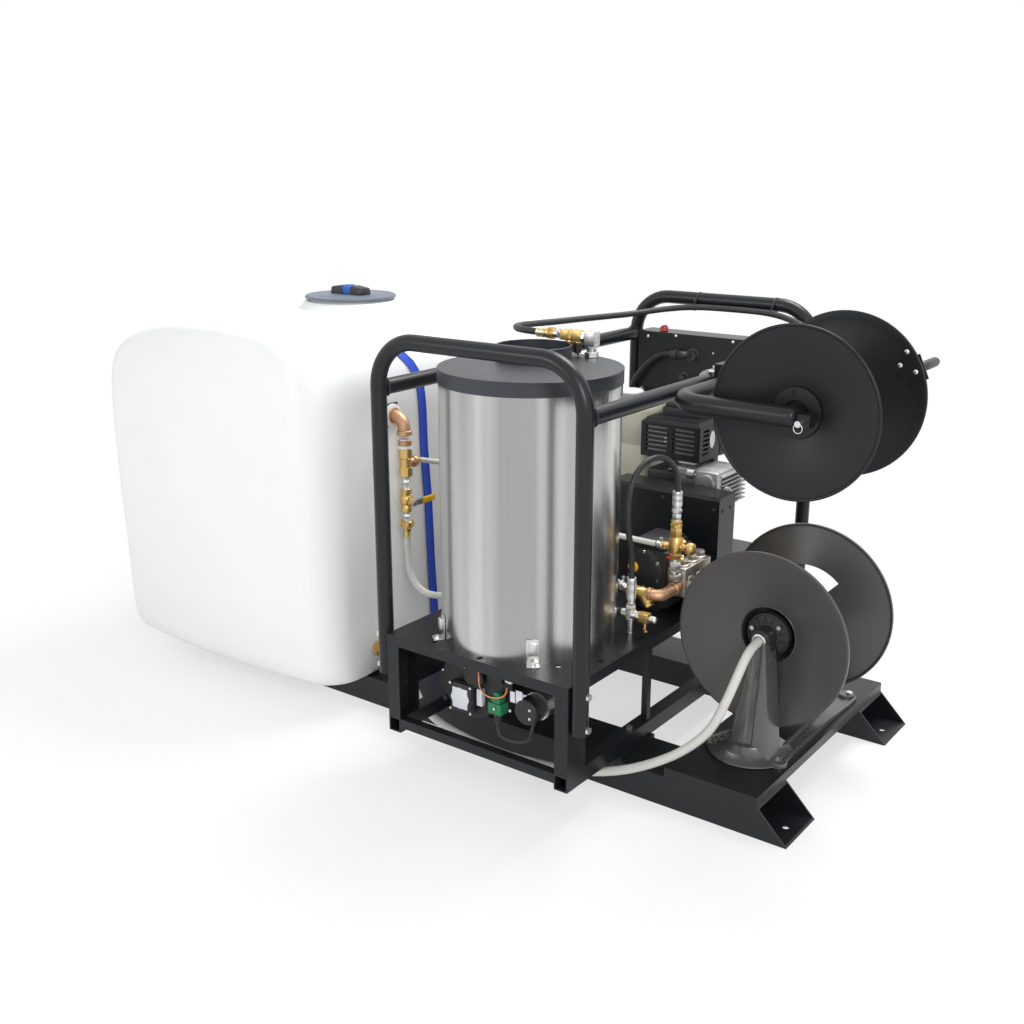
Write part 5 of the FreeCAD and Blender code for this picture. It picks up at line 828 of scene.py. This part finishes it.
made("air_cleaner_bolts", zinc_finish, sharp=40)
for turn in range(9):
    wire_ring((505 + turn * 3.2, 214, 655 - turn * 1.4), (1, 0, -0.4), 4.6, 0.8, 20, 8)
for spot in ((300, 214, 440), (300, 214, 520), (420, 214, 430), (500, 214, 450), (470, 222, 700)):
    hexagon(spot, NEAR, 11, 6)
turned(((0, 2.4), (60, 2.4)), (540, 210, 690), (-0.2, 0.1, -1), 12)
turned(((0, 14), (8, 14), (9, 12), (12, 6)), (552, 268, 560), (1, -0.3, 0.2), 32)
made("governor_links", zinc_finish, sharp=40)
STARTER_X, STARTER_Z = 380, 540
turned(((0, 104), (30, 104), (44, 98), (58, 84), (64, 60), (68, 58), (69.5, 20), (69.5, 6)),
    (STARTER_X, 390.6, STARTER_Z), FAR, 72)
made("recoil_cover", burner_black, replaced="recoil_starter")
for step in range(14):
    angle = math.tau * step / 14
    x, z = on_circle((STARTER_X, STARTER_Z), 76, angle)
    way = (math.cos(angle), -0.35, math.sin(angle))
    turned(((-18, 2.4), (-17, 3.2), (17, 3.2), (18, 2.4)), (x, 452, z), way, 8)
made("recoil_ribs", black_plastic)
block((355.5, 423.4, 646), (404.5, 437.6, 660.8), 5)
turned(((0, 3.9), (17, 3.9)), (STARTER_X, 430, 630.2), UP, 16)
made("recoil_handle", black_plastic, body="recoil_grip", replaced="recoil_grip")

# Muffler and its guard: a black pressed guard with a sloping rim, a row of top
# slots, two columns of side slots over pale louvres, and a bright oval badge.
paint(zinc_finish, "muffler")


def slab(front, back):
    """Closed plate between two matching outlines of points."""
    work.faces.new(front)
    work.faces.new(back[::-1])
    for here in range(len(front)):
        after = (here + 1) % len(front)
        work.faces.new((front[here], back[here], back[after], front[after]))


def slotted_panel(corner, across, down, holes):
    """Sheet 2 mm thick with slots; a hole is its left, right, top and bottom as parts of the sheet."""
    corner, across, down = Vector(corner), Vector(across), Vector(down)
    normal = across.cross(down).normalized()
    columns = sorted({0.0, 1.0, *[value for hole in holes for value in hole[:2]]})
    rows = sorted({0.0, 1.0, *[value for hole in holes for value in hole[2:]]})
    for left, right in zip(columns, columns[1:]):
        for high, low in zip(rows, rows[1:]):
            middle = ((left + right) / 2, (high + low) / 2)
            if any(hole[0] < middle[0] < hole[1] and hole[2] < middle[1] < hole[3] for hole in holes):
                continue
            ends = ((left, high), (right, high), (right, low), (left, low))
            spots = [corner + across * part + down * drop for part, drop in ends]
            slab([point(spot) for spot in spots], [point(spot - normal * 2) for spot in spots])


side_holes = [(left, left + 0.37, 0.10 + 0.13 * row, 0.17 + 0.13 * row) for left in (0.08, 0.55)
    for row in range(6)]
end_holes = [(0.12, 0.45, 0.10 + 0.13 * row, 0.17 + 0.13 * row) for row in range(6)]
for corner, across, holes in (((264.3, 250.2, 836), (197.4, 0, 0), side_holes),
        ((461.7, 250.2, 836), (0, 125.6, 0), end_holes), ((264.3, 375.8, 836), (0, -125.6, 0), end_holes),
        ((461.7, 375.8, 836), (-197.4, 0, 0), [])):
    slotted_panel(corner, across, (0, 0, -106), holes)
top_holes = [(0.10 + 0.072 * number, 0.135 + 0.072 * number, 0.28, 0.60) for number in range(11)]
slotted_panel((275, 365, 847.2), (176, 0, 0), (0, -104, 0), top_holes)
rims = []
for left, right, near, far, level in ((264.3, 461.7, 250.2, 375.8, 836), (275, 451, 261, 365, 847.2)):
    corners = ((left, near), (right, near), (right, far), (left, far))
    rims.append([point((x, y, level)) for x, y in corners])
skin(rims, False, False)
made("muffler_guard_sheet", frame_paint, replaced="muffler_guard", sharp=30)
for x in (281, 374):
    for row in range(6):
        level = 823 - 13.8 * row
        block((x, 254.5, level - 7), (x + 72, 257.5, level + 1), 1)
made("guard_louvres", finish("grey louvres", (0.20, 0.205, 0.20), (0.28, 0.285, 0.28), 0.45, 0.15, 0.4,
    metallic=0.8))
BADGE_LEVEL, BADGE_STRETCH, BADGE_FACE = 790, 1.75, 464.5
turned(((0, 17), (2, 17), (4, 14), (4, 4)), (460.5, 330, BADGE_LEVEL), FRONT, 48)
for vert in work.verts:
    rise = vert.co.z - BADGE_LEVEL / 1000
    vert.co.z = BADGE_LEVEL / 1000 + rise * BADGE_STRETCH
    vert.co.x = min(vert.co.x, BADGE_FACE / 1000)
made("guard_badge", zinc_finish)

# Fuel tank and cap: moulded cream canister with two grooves round it and a neck,
# under a ribbed silver collar cap with a white rim.
cream_plastic = finish("cream canister", (0.56, 0.54, 0.43), (0.64, 0.62, 0.50), 0.38, 0.1, 0.3, patch=4,
    grain=300)


def stacked(low, high, radius, levels):
    """Box with round corners, built from levels; each level is (height, inset)."""
    rings = []
    for level, inset in levels:
        left, near, right, far = low[0] + inset, low[1] + inset, high[0] - inset, high[1] - inset
        soft = max(2, radius - inset)
        ring = []
        for x, y, begin in ((right - soft, far - soft, 0), (left + soft, far - soft, 90),
                (left + soft, near + soft, 180), (right - soft, near + soft, 270)):
            for step in range(9):
                angle = math.radians(begin + 90 * step / 8)
                ring.append(point((*on_circle((x, y), soft, angle), level)))
        rings.append(ring)
    skin(rings)


stacked((60.2, 330.2), (239.8, 549.8), 30, ((BED_TOP, 18), (383, 8), (392, 1.5), (402, 0), (560, 0), (566, 3),
    (572, 3), (578, 0), (724, 0), (730, 3.5), (738, 3.5), (744, 0), (836, 0), (852, 2), (862, 8), (867, 20),
    (868.6, 40)))
CAP_AT = (130, 400)
turned(((0, 40), (2, 37), (5, 34), (21, 34), (22, 32)), (*CAP_AT, 867.5), UP, 48)
made("fuel_canister", cream_plastic, replaced="fuel_tank")
turned(((0, 34.5), (1, 39.5), (15, 39.5), (16, 36)), (*CAP_AT, 869.4), UP, 72)
for spot in spots_round(40, (*CAP_AT, 877.5), 39.4, 2):
    turned(((-7, 0.8), (-6, 1.9), (6, 1.9), (7, 0.8)), spot, UP, 8)
made("fuel_cap_ribs", finish("silver plastic", (0.34, 0.35, 0.36), (0.46, 0.47, 0.48), 0.34, 0.15, 0.3,
    patch=40, metallic=0.5), body="fuel_cap", replaced="fuel_cap")
turned(((0, 38), (1, 41.6), (6, 41.6), (8.5, 39), (9.2, 34), (9.4, 10)), (*CAP_AT, 885.2), UP, 64)
made("fuel_cap_rim", tank_finish, body="fuel_cap")

# Control box: folded black sheet with an open back, pan screws, a rubber boot
# for the corrugated conduit, a blind grommet, and a red selector on its top.
paint(frame_paint, "control_box")
for spot in ((198, 1052), (401, 1050), (339, 966), (95, 1043), (440, 870), (80, 870)):
    turned(((0, 5.4), (1.2, 5.2), (3, 3.4), (3.6, 1.5)), (spot[0], 560, spot[1]), NEAR, 20)
turned(((0, 3.4), (1, 3.2), (1.8, 2)), (334, 560, 1008), NEAR, 16)
turned(((0, 6.5), (1.6, 6.5), (1.7, 5), (5, 5)), (45, 632.6, 1000), NEAR, 6)
turned(((0, 7), (10, 7), (11, 6)), (86, 552, 868), (-0.3, -0.8, 0.1), 20)
made("control_box_screws", zinc_finish, sharp=40)
turned(((0, 24), (2, 24), (4, 19), (10, 17), (14, 17)), (262, 560, 995), NEAR, 40)
elbow((246, 535, 997), NEAR, REAR, 12.5, 14, 32, 8)
turned(((0, 13.5), (16, 12.2), (17, 15.5), (26, 15.5), (28, 12.6), (31, 12.6), (32, 14), (38, 14)),
    (237, 535, 997), REAR, 40)
turned(((0, 20), (2, 20), (4, 14), (8, 12), (18, 11), (20, 6)), (234, 560, 919), NEAR, 36)
turned(((0, 15), (9, 15)), (248, 551, 996), NEAR, 32)
made("conduit_boot", switch_plastic, sharp=40)
turned(((0, 13.9), (4, 13.9), (6, 13), (12, 13), (13.5, 11), (13.5, 4)), (134, 596, 1060.6), UP, 48)
block((130.5, 584.5, 1072), (137.5, 607.5, 1078.2), 1.6)
made("selector_handle", finish("red knob plastic", (0.42, 0.03, 0.04), (0.55, 0.05, 0.06), 0.34, 0.1, 0.2),
    body="selector_knob", replaced="selector_knob")

# Upper reel: two dished steel flanges with rolled rims on a drum, a slotted
# lock disc and a folded crank, all in satin black powder coat.
reel_paint = finish("reel powder coat", (0.0065, 0.0072, 0.0085), (0.0110, 0.0122, 0.0142), 0.32, 0.14, 0.22,
    patch=4, grain=800, gloss=0.3)
paint(reel_paint, "reel_crank")
REEL_X, REEL_Z = 984, 1037
HUB_EDGE, DISH_EDGE = 61, 200.5


def dished(radius):
    """How deep the upper reel's flange is dished at a radius."""
    return 21 * ((DISH_EDGE - radius) / (DISH_EDGE - HUB_EDGE)) ** 1.6


dish = []
for step in range(13):
    radius = HUB_EDGE + (DISH_EDGE - HUB_EDGE) * step / 12
    dish.append((3 + dished(radius), radius))
outer = [(24.0, 14.0)] + dish + [(1.4, 201.6), (0.2, 203.6), (0, 205.2), (0.8, 207.2), (2.6, 208.4),
    (4.6, 208.3), (6.2, 206.8), (6.6, 204.5)]
inner = [(along + 2.6, radius) for along, radius in dish[::-1][1:]]
turned(outer + inner + [(26.6, 14.0)], (REEL_X, -294, REEL_Z), FAR, 144, True)
turned(outer + inner + [(26.6, 14.0)], (REEL_X, 16, REEL_Z), NEAR, 144, True)
turned(((25, 58), (25, 62), (285, 62), (285, 58)), (REEL_X, -294, REEL_Z), FAR, 96, True)
made("pressure_reel_spool", reel_paint, body="pressure_reel", replaced="pressure_reel",
    sharp=40)
paint(frame_paint, "reel_yoke")
turned(((0, 30), (0.1, 60.5), (1.6, 61.4), (3, 61.4), (3.1, 30)), (REEL_X, -277.4, REEL_Z), FAR, 96, True)
made("lock_plate_edge", reel_paint, body="pressure_reel")
for degrees in (80.0, 200.0, 320.0):
    angle = math.radians(degrees)
    block((979.5, -278.2, 1072), (988.5, -277.3, 1093), 0.4, Matrix.Rotation(angle - math.pi / 2, 4, "Y"),
        (REEL_X, -277.8, REEL_Z))
made("lock_plate_slots", finish("deep shade", (0.002, 0.002, 0.002), (0.003, 0.003, 0.003), 0.9, 0.0, 0.0),
    body="pressure_reel")
for reach, degrees in ((161.0, 32.5), (191.0, 39.0), (189.0, 23.0)):
    x, z = on_circle((REEL_X, REEL_Z), reach, math.radians(degrees))
    turned(((0, 6.6), (1.3, 6.4), (3.2, 4.3), (4, 2)), (x, 10.4 - dished(reach), z), NEAR, 24)
made("crank_screws", zinc_finish, body="pressure_reel", sharp=40)

# Yoke gusset and lock pin: a welded plate behind the tube's capped end carries
# a bright spring pin with its pull ring.
slab(*[[point((x, y, z)) for x, z in ((988, 1052), (1036, 1040), (1040, 1018), (1000, 1014))]
    for y in (-323, -300)])
made("yoke_gusset", frame_paint)
turned(((-2, 23.6), (4, 24.0), (9, 22.6), (13, 19), (15.5, 13), (16.5, 5)), (992, -325, 1037), FRONT, 48)
made("yoke_end_cap", frame_paint)
turned(((0, 3.2), (2, 4.9), (66, 4.9), (67.5, 3.4)), (1025.4, -362.6, 1029.7), FAR, 28)
wire_ring((1026.5, -360.8, 1020), (0.05, 1, 0.05), 11, 1.2, 48, 10)
turned(((0, 7.5), (3.6, 7.5), (4.4, 6)), (1025.4, -362, 1029.7), FAR, 28)
made("lock_pin", zinc_finish, body="reel_lock_pin", replaced="reel_lock_pin", sharp=40)

# Crank grip: turned black plastic sleeve with a swollen middle and grooves,
# free to spin on the crank's rod.
grip_x, grip_z = on_circle((REEL_X, REEL_Z), 196, math.radians(24.8))
turned(((0, 6.3), (0, 9.5), (2, 11.4), (8, 12.2), (9, 11.6), (11, 11.6), (12, 12.3), (58, 12.4), (104, 12.3),
    (105, 11.6), (107, 11.6), (108, 12.2), (113, 11.4), (115.6, 9.5), (115.6, 6.3)), (grip_x, 24.2, grip_z),
    FAR, 40, True)
made("crank_sleeve", black_plastic, body="crank_grip", replaced="crank_grip")

# Lower reel: wide dished flanges in warm grey-black powder coat on a hollow
# drum, with a mouth ring at the near hub and a curved window.
reel_grey = finish("warm grey powder coat", (0.068, 0.065, 0.063), (0.090, 0.086, 0.083), 0.24, 0.12, 0.2,
    patch=4, grain=800, metallic=0.35)
paint(reel_grey, "supply_reel")
LOW_X, LOW_Z = 883.5, 409.6
for y in (-166.2, 139.2):
    wire_ring((LOW_X, y, LOW_Z), FAR, 232.2, 3.6, 180, 10)
made("supply_reel_rims", reel_grey, body="supply_reel")
wire_ring((LOW_X, -124.5, LOW_Z), FAR, 76.4, 1.7, 120, 10)
made("supply_reel_mouth", reel_grey, body="supply_reel")

# Reel stand: pressed steel under a glossy grey coat, a flared round foot with two
# ribbed arms and a folded leg with a sunk face, round a black cast hub.
stand_coat = finish("glossy stand coat", (0.085, 0.083, 0.083), (0.130, 0.127, 0.125), 0.20, 0.14, 0.5,
    patch=7, grain=120, metallic=0.45, coat=0.2)
DECK_TOP = 110.2
foot = [(0.4, 108), (3, 110), (6, 109), (9, 100), (14, 86), (24, 70), (36, 62), (38, 40)]
turned(foot, (885.5, -200, DECK_TOP), UP, 96)
leg_rings = []
for low_y, high_y, low_x, high_x, level, sink in ((-252, -176, 828, 968, 116, 0),
        (-250, -176, 838, 962, 126, 3), (-246, -172, 846, 954, 150, 5), (-232, -160, 851, 942, 220, 6),
        (-212, -148, 857, 928, 300, 6), (-196, -136, 862, 914, 370, 5), (-188, -130, 864, 906, 408, 0)):
    middle = (low_x + high_x) / 2
    spots = ((low_x, high_y), (low_x, low_y + 10), (low_x + 3, low_y + 3), (low_x + 10, low_y),
        (middle - 12, low_y), (middle - 7, low_y + sink), (middle + 7, low_y + sink), (middle + 12, low_y),
        (high_x - 10, low_y), (high_x - 3, low_y + 3), (high_x, low_y + 10), (high_x, high_y))
    leg_rings.append([point((x, y, level)) for x, y in spots])
skin(leg_rings, False)
for x, y in ((789, -222), (981, -232), (965, 261)):
    turned(((0, 24), (9, 23), (11.6, 20), (11.6, 6)), (x, y, DECK_TOP), UP, 40)
for begin, end, wide in (((974, -232), (968, 256), 40), ((794, -222), (884, -206), 44)):
    begin, end = Vector(begin), Vector(end)
    ahead = (end - begin).normalized()
    side = Vector((ahead.y, -ahead.x))
    shape = ((-0.5, 0), (-0.5, 14), (-0.38, 14), (-0.34, 5), (0.34, 5), (0.38, 14), (0.5, 14), (0.5, 0))
    loops = []
    for part, grow in ((-0.02, 0.5), (0, 1.0), (0.3, 1.05), (0.6, 1.15), (0.9, 1.5), (1.0, 1.5), (1.02, 1.1)):
        spot = begin + (end - begin) * part
        loops.append([point((spot.x + side.x * across * wide * grow, spot.y + side.y * across * wide * grow,
            110.4 + up * (1 if part < 0.8 else 0.55))) for across, up in shape])
    skin(loops)
made("stand_pressing", stand_coat, replaced="supply_reel_stand", sharp=32)
cast_iron = finish("dark iron casting", (0.012, 0.012, 0.013), (0.026, 0.026, 0.028), 0.36, 0.16, 1.0,
    patch=25, grain=330)
turned(((0, 20), (6, 58), (12, 60), (26, 60), (30, 34), (64, 34), (65, 14), (188, 14)), (LOW_X, -130, LOW_Z),
    FAR, 64)
turned(((0, 16), (0, 26), (12, 28), (44, 30), (48, 34)), (LOW_X, -172, LOW_Z), FAR, 48)
block((856, -168, 372), (912, -128, 408), 8)
for step in range(12):
    angle = math.tau * (step + 0.5) / 12
    middle = Vector((LOW_X, -126, LOW_Z))
    block((912, -130, 407.4), (938, -122, 411.8), 1.2, Matrix.Rotation(angle, 4, "Y"), middle)
wire_ring((LOW_X, -126, LOW_Z), FAR, 56, 2.6, 72, 8)
wire_ring((LOW_X, -128, LOW_Z), FAR, 30, 3.2, 60, 8)
made("stand_hub_ribs", cast_iron)
for spot in spots_round(3, (LOW_X, -131, LOW_Z), 44, 1, 0.35):
    hexagon(spot, NEAR, 12, 6)
turned(((0, 14), (0, 18.3), (3, 19.6), (10, 19.6), (11, 18.3), (11, 14)), (LOW_X, -172, LOW_Z), NEAR, 48,
    True)
made("hub_bolts", zinc_finish, sharp=40)


# Grey hoses: smooth PVC laid from the tank to the pump's strainer and
# to the low reel, and a milky bypass hose from the unloader back to the tank.
def lay_hose(name, route, diameter, material):
    """Hose along one smooth line through control points."""
    hose = curve_through(name, route, diameter / 2, 12, 6)
    bpy.context.scene.collection.objects.link(hose)
    hose.data.materials.append(material)
    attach(hose, "machine")
    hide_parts(name)
    [value / 1000 for value in route[0]]


grey_rubber = finish("grey hose", (0.56, 0.55, 0.52), (0.62, 0.61, 0.58), 0.36, 0.1, 0.15, patch=5, grain=500)
clear_hose = finish("milky hose", (0.60, 0.58, 0.53), (0.68, 0.66, 0.61), 0.30, 0.1, 0.1, patch=6, grain=400)
lay_hose("supply_hose", ((LOW_X, -160, LOW_Z), (LOW_X, -205, LOW_Z), (884, -252, 392), (881, -290, 350),
    (868, -322, 285), (845, -352, 212), (793, -388, 156), (722, -424, 112), (640, -456, 78), (540, -482, 56),
    (430, -500, 48), (320, -508, 45), (215, -508, 47), (120, -503, 57), (35, -494, 75), (-30, -474, 106),
    (-68, -452, 134), (-110, -424, 161), (-158, -400, 180), (-210.8, -400, 180)), 24, grey_rubber)
lay_hose("tank_hose", ((-200, -312, 520.9), (-200, -312, 470), (-192, -314, 412), (-160, -316, 368),
    (-108, -308, 350), (-35, -275, 364), (30, -225, 397), (100, -165, 410), (180, -132, 412),
    (260, -124, 416), (330, -126, 434), (378, -136, 460), (422, -149.9, 472), (470.4, -177.9, 472)), 20,
    grey_rubber)
lay_hose("bypass_hose", ((535.9, -116, 590), (490, -116, 590), (420, -120, 592), (300, -128, 598),
    (180, -128, 612), (70, -136, 645), (-25, -140, 664), (-110, -132, 702), (-168, -146, 717),
    (-200, -192, 728), (-200, -251.7, 745)), 16, clear_hose)

# Black hoses: wire-braided rubber, swaged at both ends; a short one from the
# pump to the coil inlet and a long one round the far side to the upper reel.
black_rubber = finish("black hose", (0.010, 0.010, 0.012), (0.022, 0.022, 0.024), 0.40, 0.12, 0.7, patch=30,
    grain=520)
lay_hose("pressure_hose", ((596, -116, 750.1), (596, -116, 788), (590.4, -140, 830), (580.7, -181.6, 855),
    (569.5, -229.6, 855), (559.8, -271.3, 830), (554.2, -295.2, 785), (551, -298, 722), (549, -284, 655),
    (548, -262, 598), (548, -262, 536.1)), 16, black_rubber)
lay_hose("outlet_hose", ((189.9, -195, 1150), (150, -195, 1150), (95, -170, 1150), (62, -115, 1148),
    (52, -40, 1143), (50, 80, 1136), (50, 220, 1130), (54, 360, 1124), (80, 480, 1122), (145, 570, 1134),
    (238, 606, 1144), (380, 609, 1145), (505, 606, 1143), (600, 572, 1128), (690, 515, 1104),
    (775, 445, 1075), (855, 370, 1058), (925, 295, 1045), (970, 220, 1038), (REEL_X, 140, REEL_Z),
    (REEL_X, 60.3, REEL_Z)), 19, black_rubber)

# Control conduit: black corrugated loom, a real rib every seven millimetres,
# from the boot on the control box down behind the burner into the bed.
conduit_route = ((201.7, 535, 997), (168, 535, 997), (130, 534, 976), (92, 534, 940), (62, 536, 902),
    (44, 547, 858), (40, 564, 806), (50, 578, 744), (74, 588, 670), (108, 584, 590), (144, 576, 516),
    (170, 570, 452), (180, 566, 402), (180, 566, 350))
conduit_line = curve_through("conduit", conduit_route, 0, 12, 6)
bpy.context.scene.collection.objects.link(conduit_line)
conduit_mesh = bpy.data.meshes.new_from_object(conduit_line)
fine = [corner.co.copy() for corner in conduit_mesh.vertices]
bpy.data.objects.remove(conduit_line)
conduit_path = [fine[0]]
for begin, end in zip(fine, fine[1:]):
    while (end - conduit_path[-1]).length >= 0.001:
        ahead = end - conduit_path[-1]
        conduit_path.append(conduit_path[-1] + ahead * (0.001 / ahead.length))
rib_rings = []
across = Vector(UP)
for number, spot in enumerate(conduit_path):
    along = heading(conduit_path, number)
    across = (across - along * across.dot(along)).normalized()
    beside = along.cross(across)
    radius = (0.0090, 0.0090, 0.0090, 0.0090, 0.0070, 0.0068, 0.0070)[number % 7]
    ring = []
    for step in range(14):
        angle = math.tau * step / 14
        out = across * math.cos(angle) + beside * math.sin(angle)
        ring.append(work.verts.new(spot + out * radius))
    rib_rings.append(ring)
skin(rib_rings)
conduit = made("conduit_ribs", switch_plastic, replaced="control_conduit", sharp=30)
[value / 1000 for value in conduit_route[0]]

# Cable ties: black nylon straps looped over the far bar, in which the long
# outlet hose hangs; each is one taut band with its lock head and cut tail.
BAR_LOOP, HOSE_LOOP, FAR_SIDE = 21.4, 10.6, 656.8
for x, hose_spot in ((238, (604.6, 1143)), (505, (605, 1142.5))):
    bar_spot, hose_spot = Vector((636, 1166)), Vector(hose_spot)
    reach = bar_spot - hose_spot
    lean = math.atan2(reach.y, reach.x)
    open_angle = math.asin((BAR_LOOP - HOSE_LOOP) / reach.length)
    band = []
    leave = math.pi / 2 + open_angle
    for centre, radius, begin, end in ((bar_spot, BAR_LOOP, -leave, leave),
            (hose_spot, HOSE_LOOP, leave, math.tau - leave)):
        for step in range(17):
            angle = lean + begin + (end - begin) * step / 16
            band.append((centre, radius, angle))
    sides = []
    for offset, side in ((0, -2.2), (1.1, -2.2), (1.1, 2.2), (0, 2.2)):
        loop = []
        for centre, radius, angle in band:
            y, z = on_circle(centre, radius + offset, angle)
            loop.append(point((x + side, min(FAR_SIDE, y), z)))
        sides.append(loop)
    skin(sides + sides[:1], False, False)
    block((x - 3.4, 606, 1158), (x + 3.4, 613, 1164), 1)
    block((x - 2, 596, 1163), (x + 2, 607, 1164.4), 0.4)
made("cable_ties", black_plastic)

# Studio: pale floor that keeps the shadow and fades into a white backdrop,
# with three soft lamps in front, at the left and above.
floor_mesh = bpy.data.meshes.new("floor")
floor_mesh.from_pydata([(-16, -16, 0), (16, -16, 0), (16, 16, 0), (-16, 16, 0)], [], [(0, 1, 2, 3)])
floor = bpy.data.objects.new("floor", floor_mesh)
bpy.context.scene.collection.objects.link(floor)
pale, tree, surface = shader("pale floor")
fill(tree, surface, {"Base Color": (0.90, 0.90, 0.90, 1), "Roughness": 0.9})
place = wired(tree, "TexCoord", {}, "Object")
reach = wired(tree, "VectorMath", {0: place}, "Value", operation="LENGTH")
edge = wired(tree, "MapRange", {"Value": reach, "From Min": 1.2, "From Max": 2.6, "To Min": 0.60}, "Result",
    interpolation_type="SMOOTHSTEP")


def brighter(tree, *rays):
    """Whether a ray is one of the named kinds."""
    path = tree.nodes.new("ShaderNodeLightPath").outputs
    result = path[rays[0]]
    for ray in rays[1:]:
        result = wired(tree, "Math", {0: result, 1: path[ray]}, "Value", operation="MAXIMUM")
    return result


amount = wired(tree, "Math", {0: brighter(tree, "Is Camera Ray", "Is Glossy Ray"), 1: edge}, "Value",
    operation="MULTIPLY")
fill(tree, tree.nodes["Material Output"], {"Surface": wired(tree, "MixShader",
    {"Fac": amount, 1: surface.outputs["BSDF"], 2: wired(tree, "Emission", {}, "Emission")}, "Shader")})
floor_mesh.materials.append(pale)
world = bpy.data.worlds.new("studio")
world.use_nodes = True
bpy.context.scene.world = world
sky = world.node_tree
back = sky.nodes["Background"]
fill(sky, back, {"Color": (1, 1, 1, 1), "Strength": 0.62})
seen = wired(sky, "Background", {"Color": (1, 1, 1, 1), "Strength": 1.0}, "Background")
fill(sky, sky.nodes["World Output"], {"Surface": wired(sky, "MixShader",
    {"Fac": brighter(sky, "Is Camera Ray", "Is Glossy Ray", "Is Transmission Ray"),
    1: back.outputs["Background"], 2: seen}, "Shader")})
for name, place, aim, wide, power in (("front lamp", (4.4, -3.6, 3.2), (0.2, 0, 0.6), 1.8, 130),
        ("left lamp", (-2.2, -5.2, 2.4), (0.1, 0, 0.6), 1.4, 52),
        ("top lamp", (0.6, 1.6, 4.4), (0.3, 0, 0.5), 2.0, 150)):
    lamp_data = bpy.data.lights.new(name, "AREA")
    lamp_data.size = wide
    lamp_data.energy = power
    lamp = bpy.data.objects.new(name, lamp_data)
    lamp.location = place
    lamp.rotation_euler = (Vector(aim) - Vector(place)).to_track_quat("-Z", "Y").to_euler()
    bpy.context.scene.collection.objects.link(lamp)
bpy.context.scene.view_settings.view_transform = "Standard"
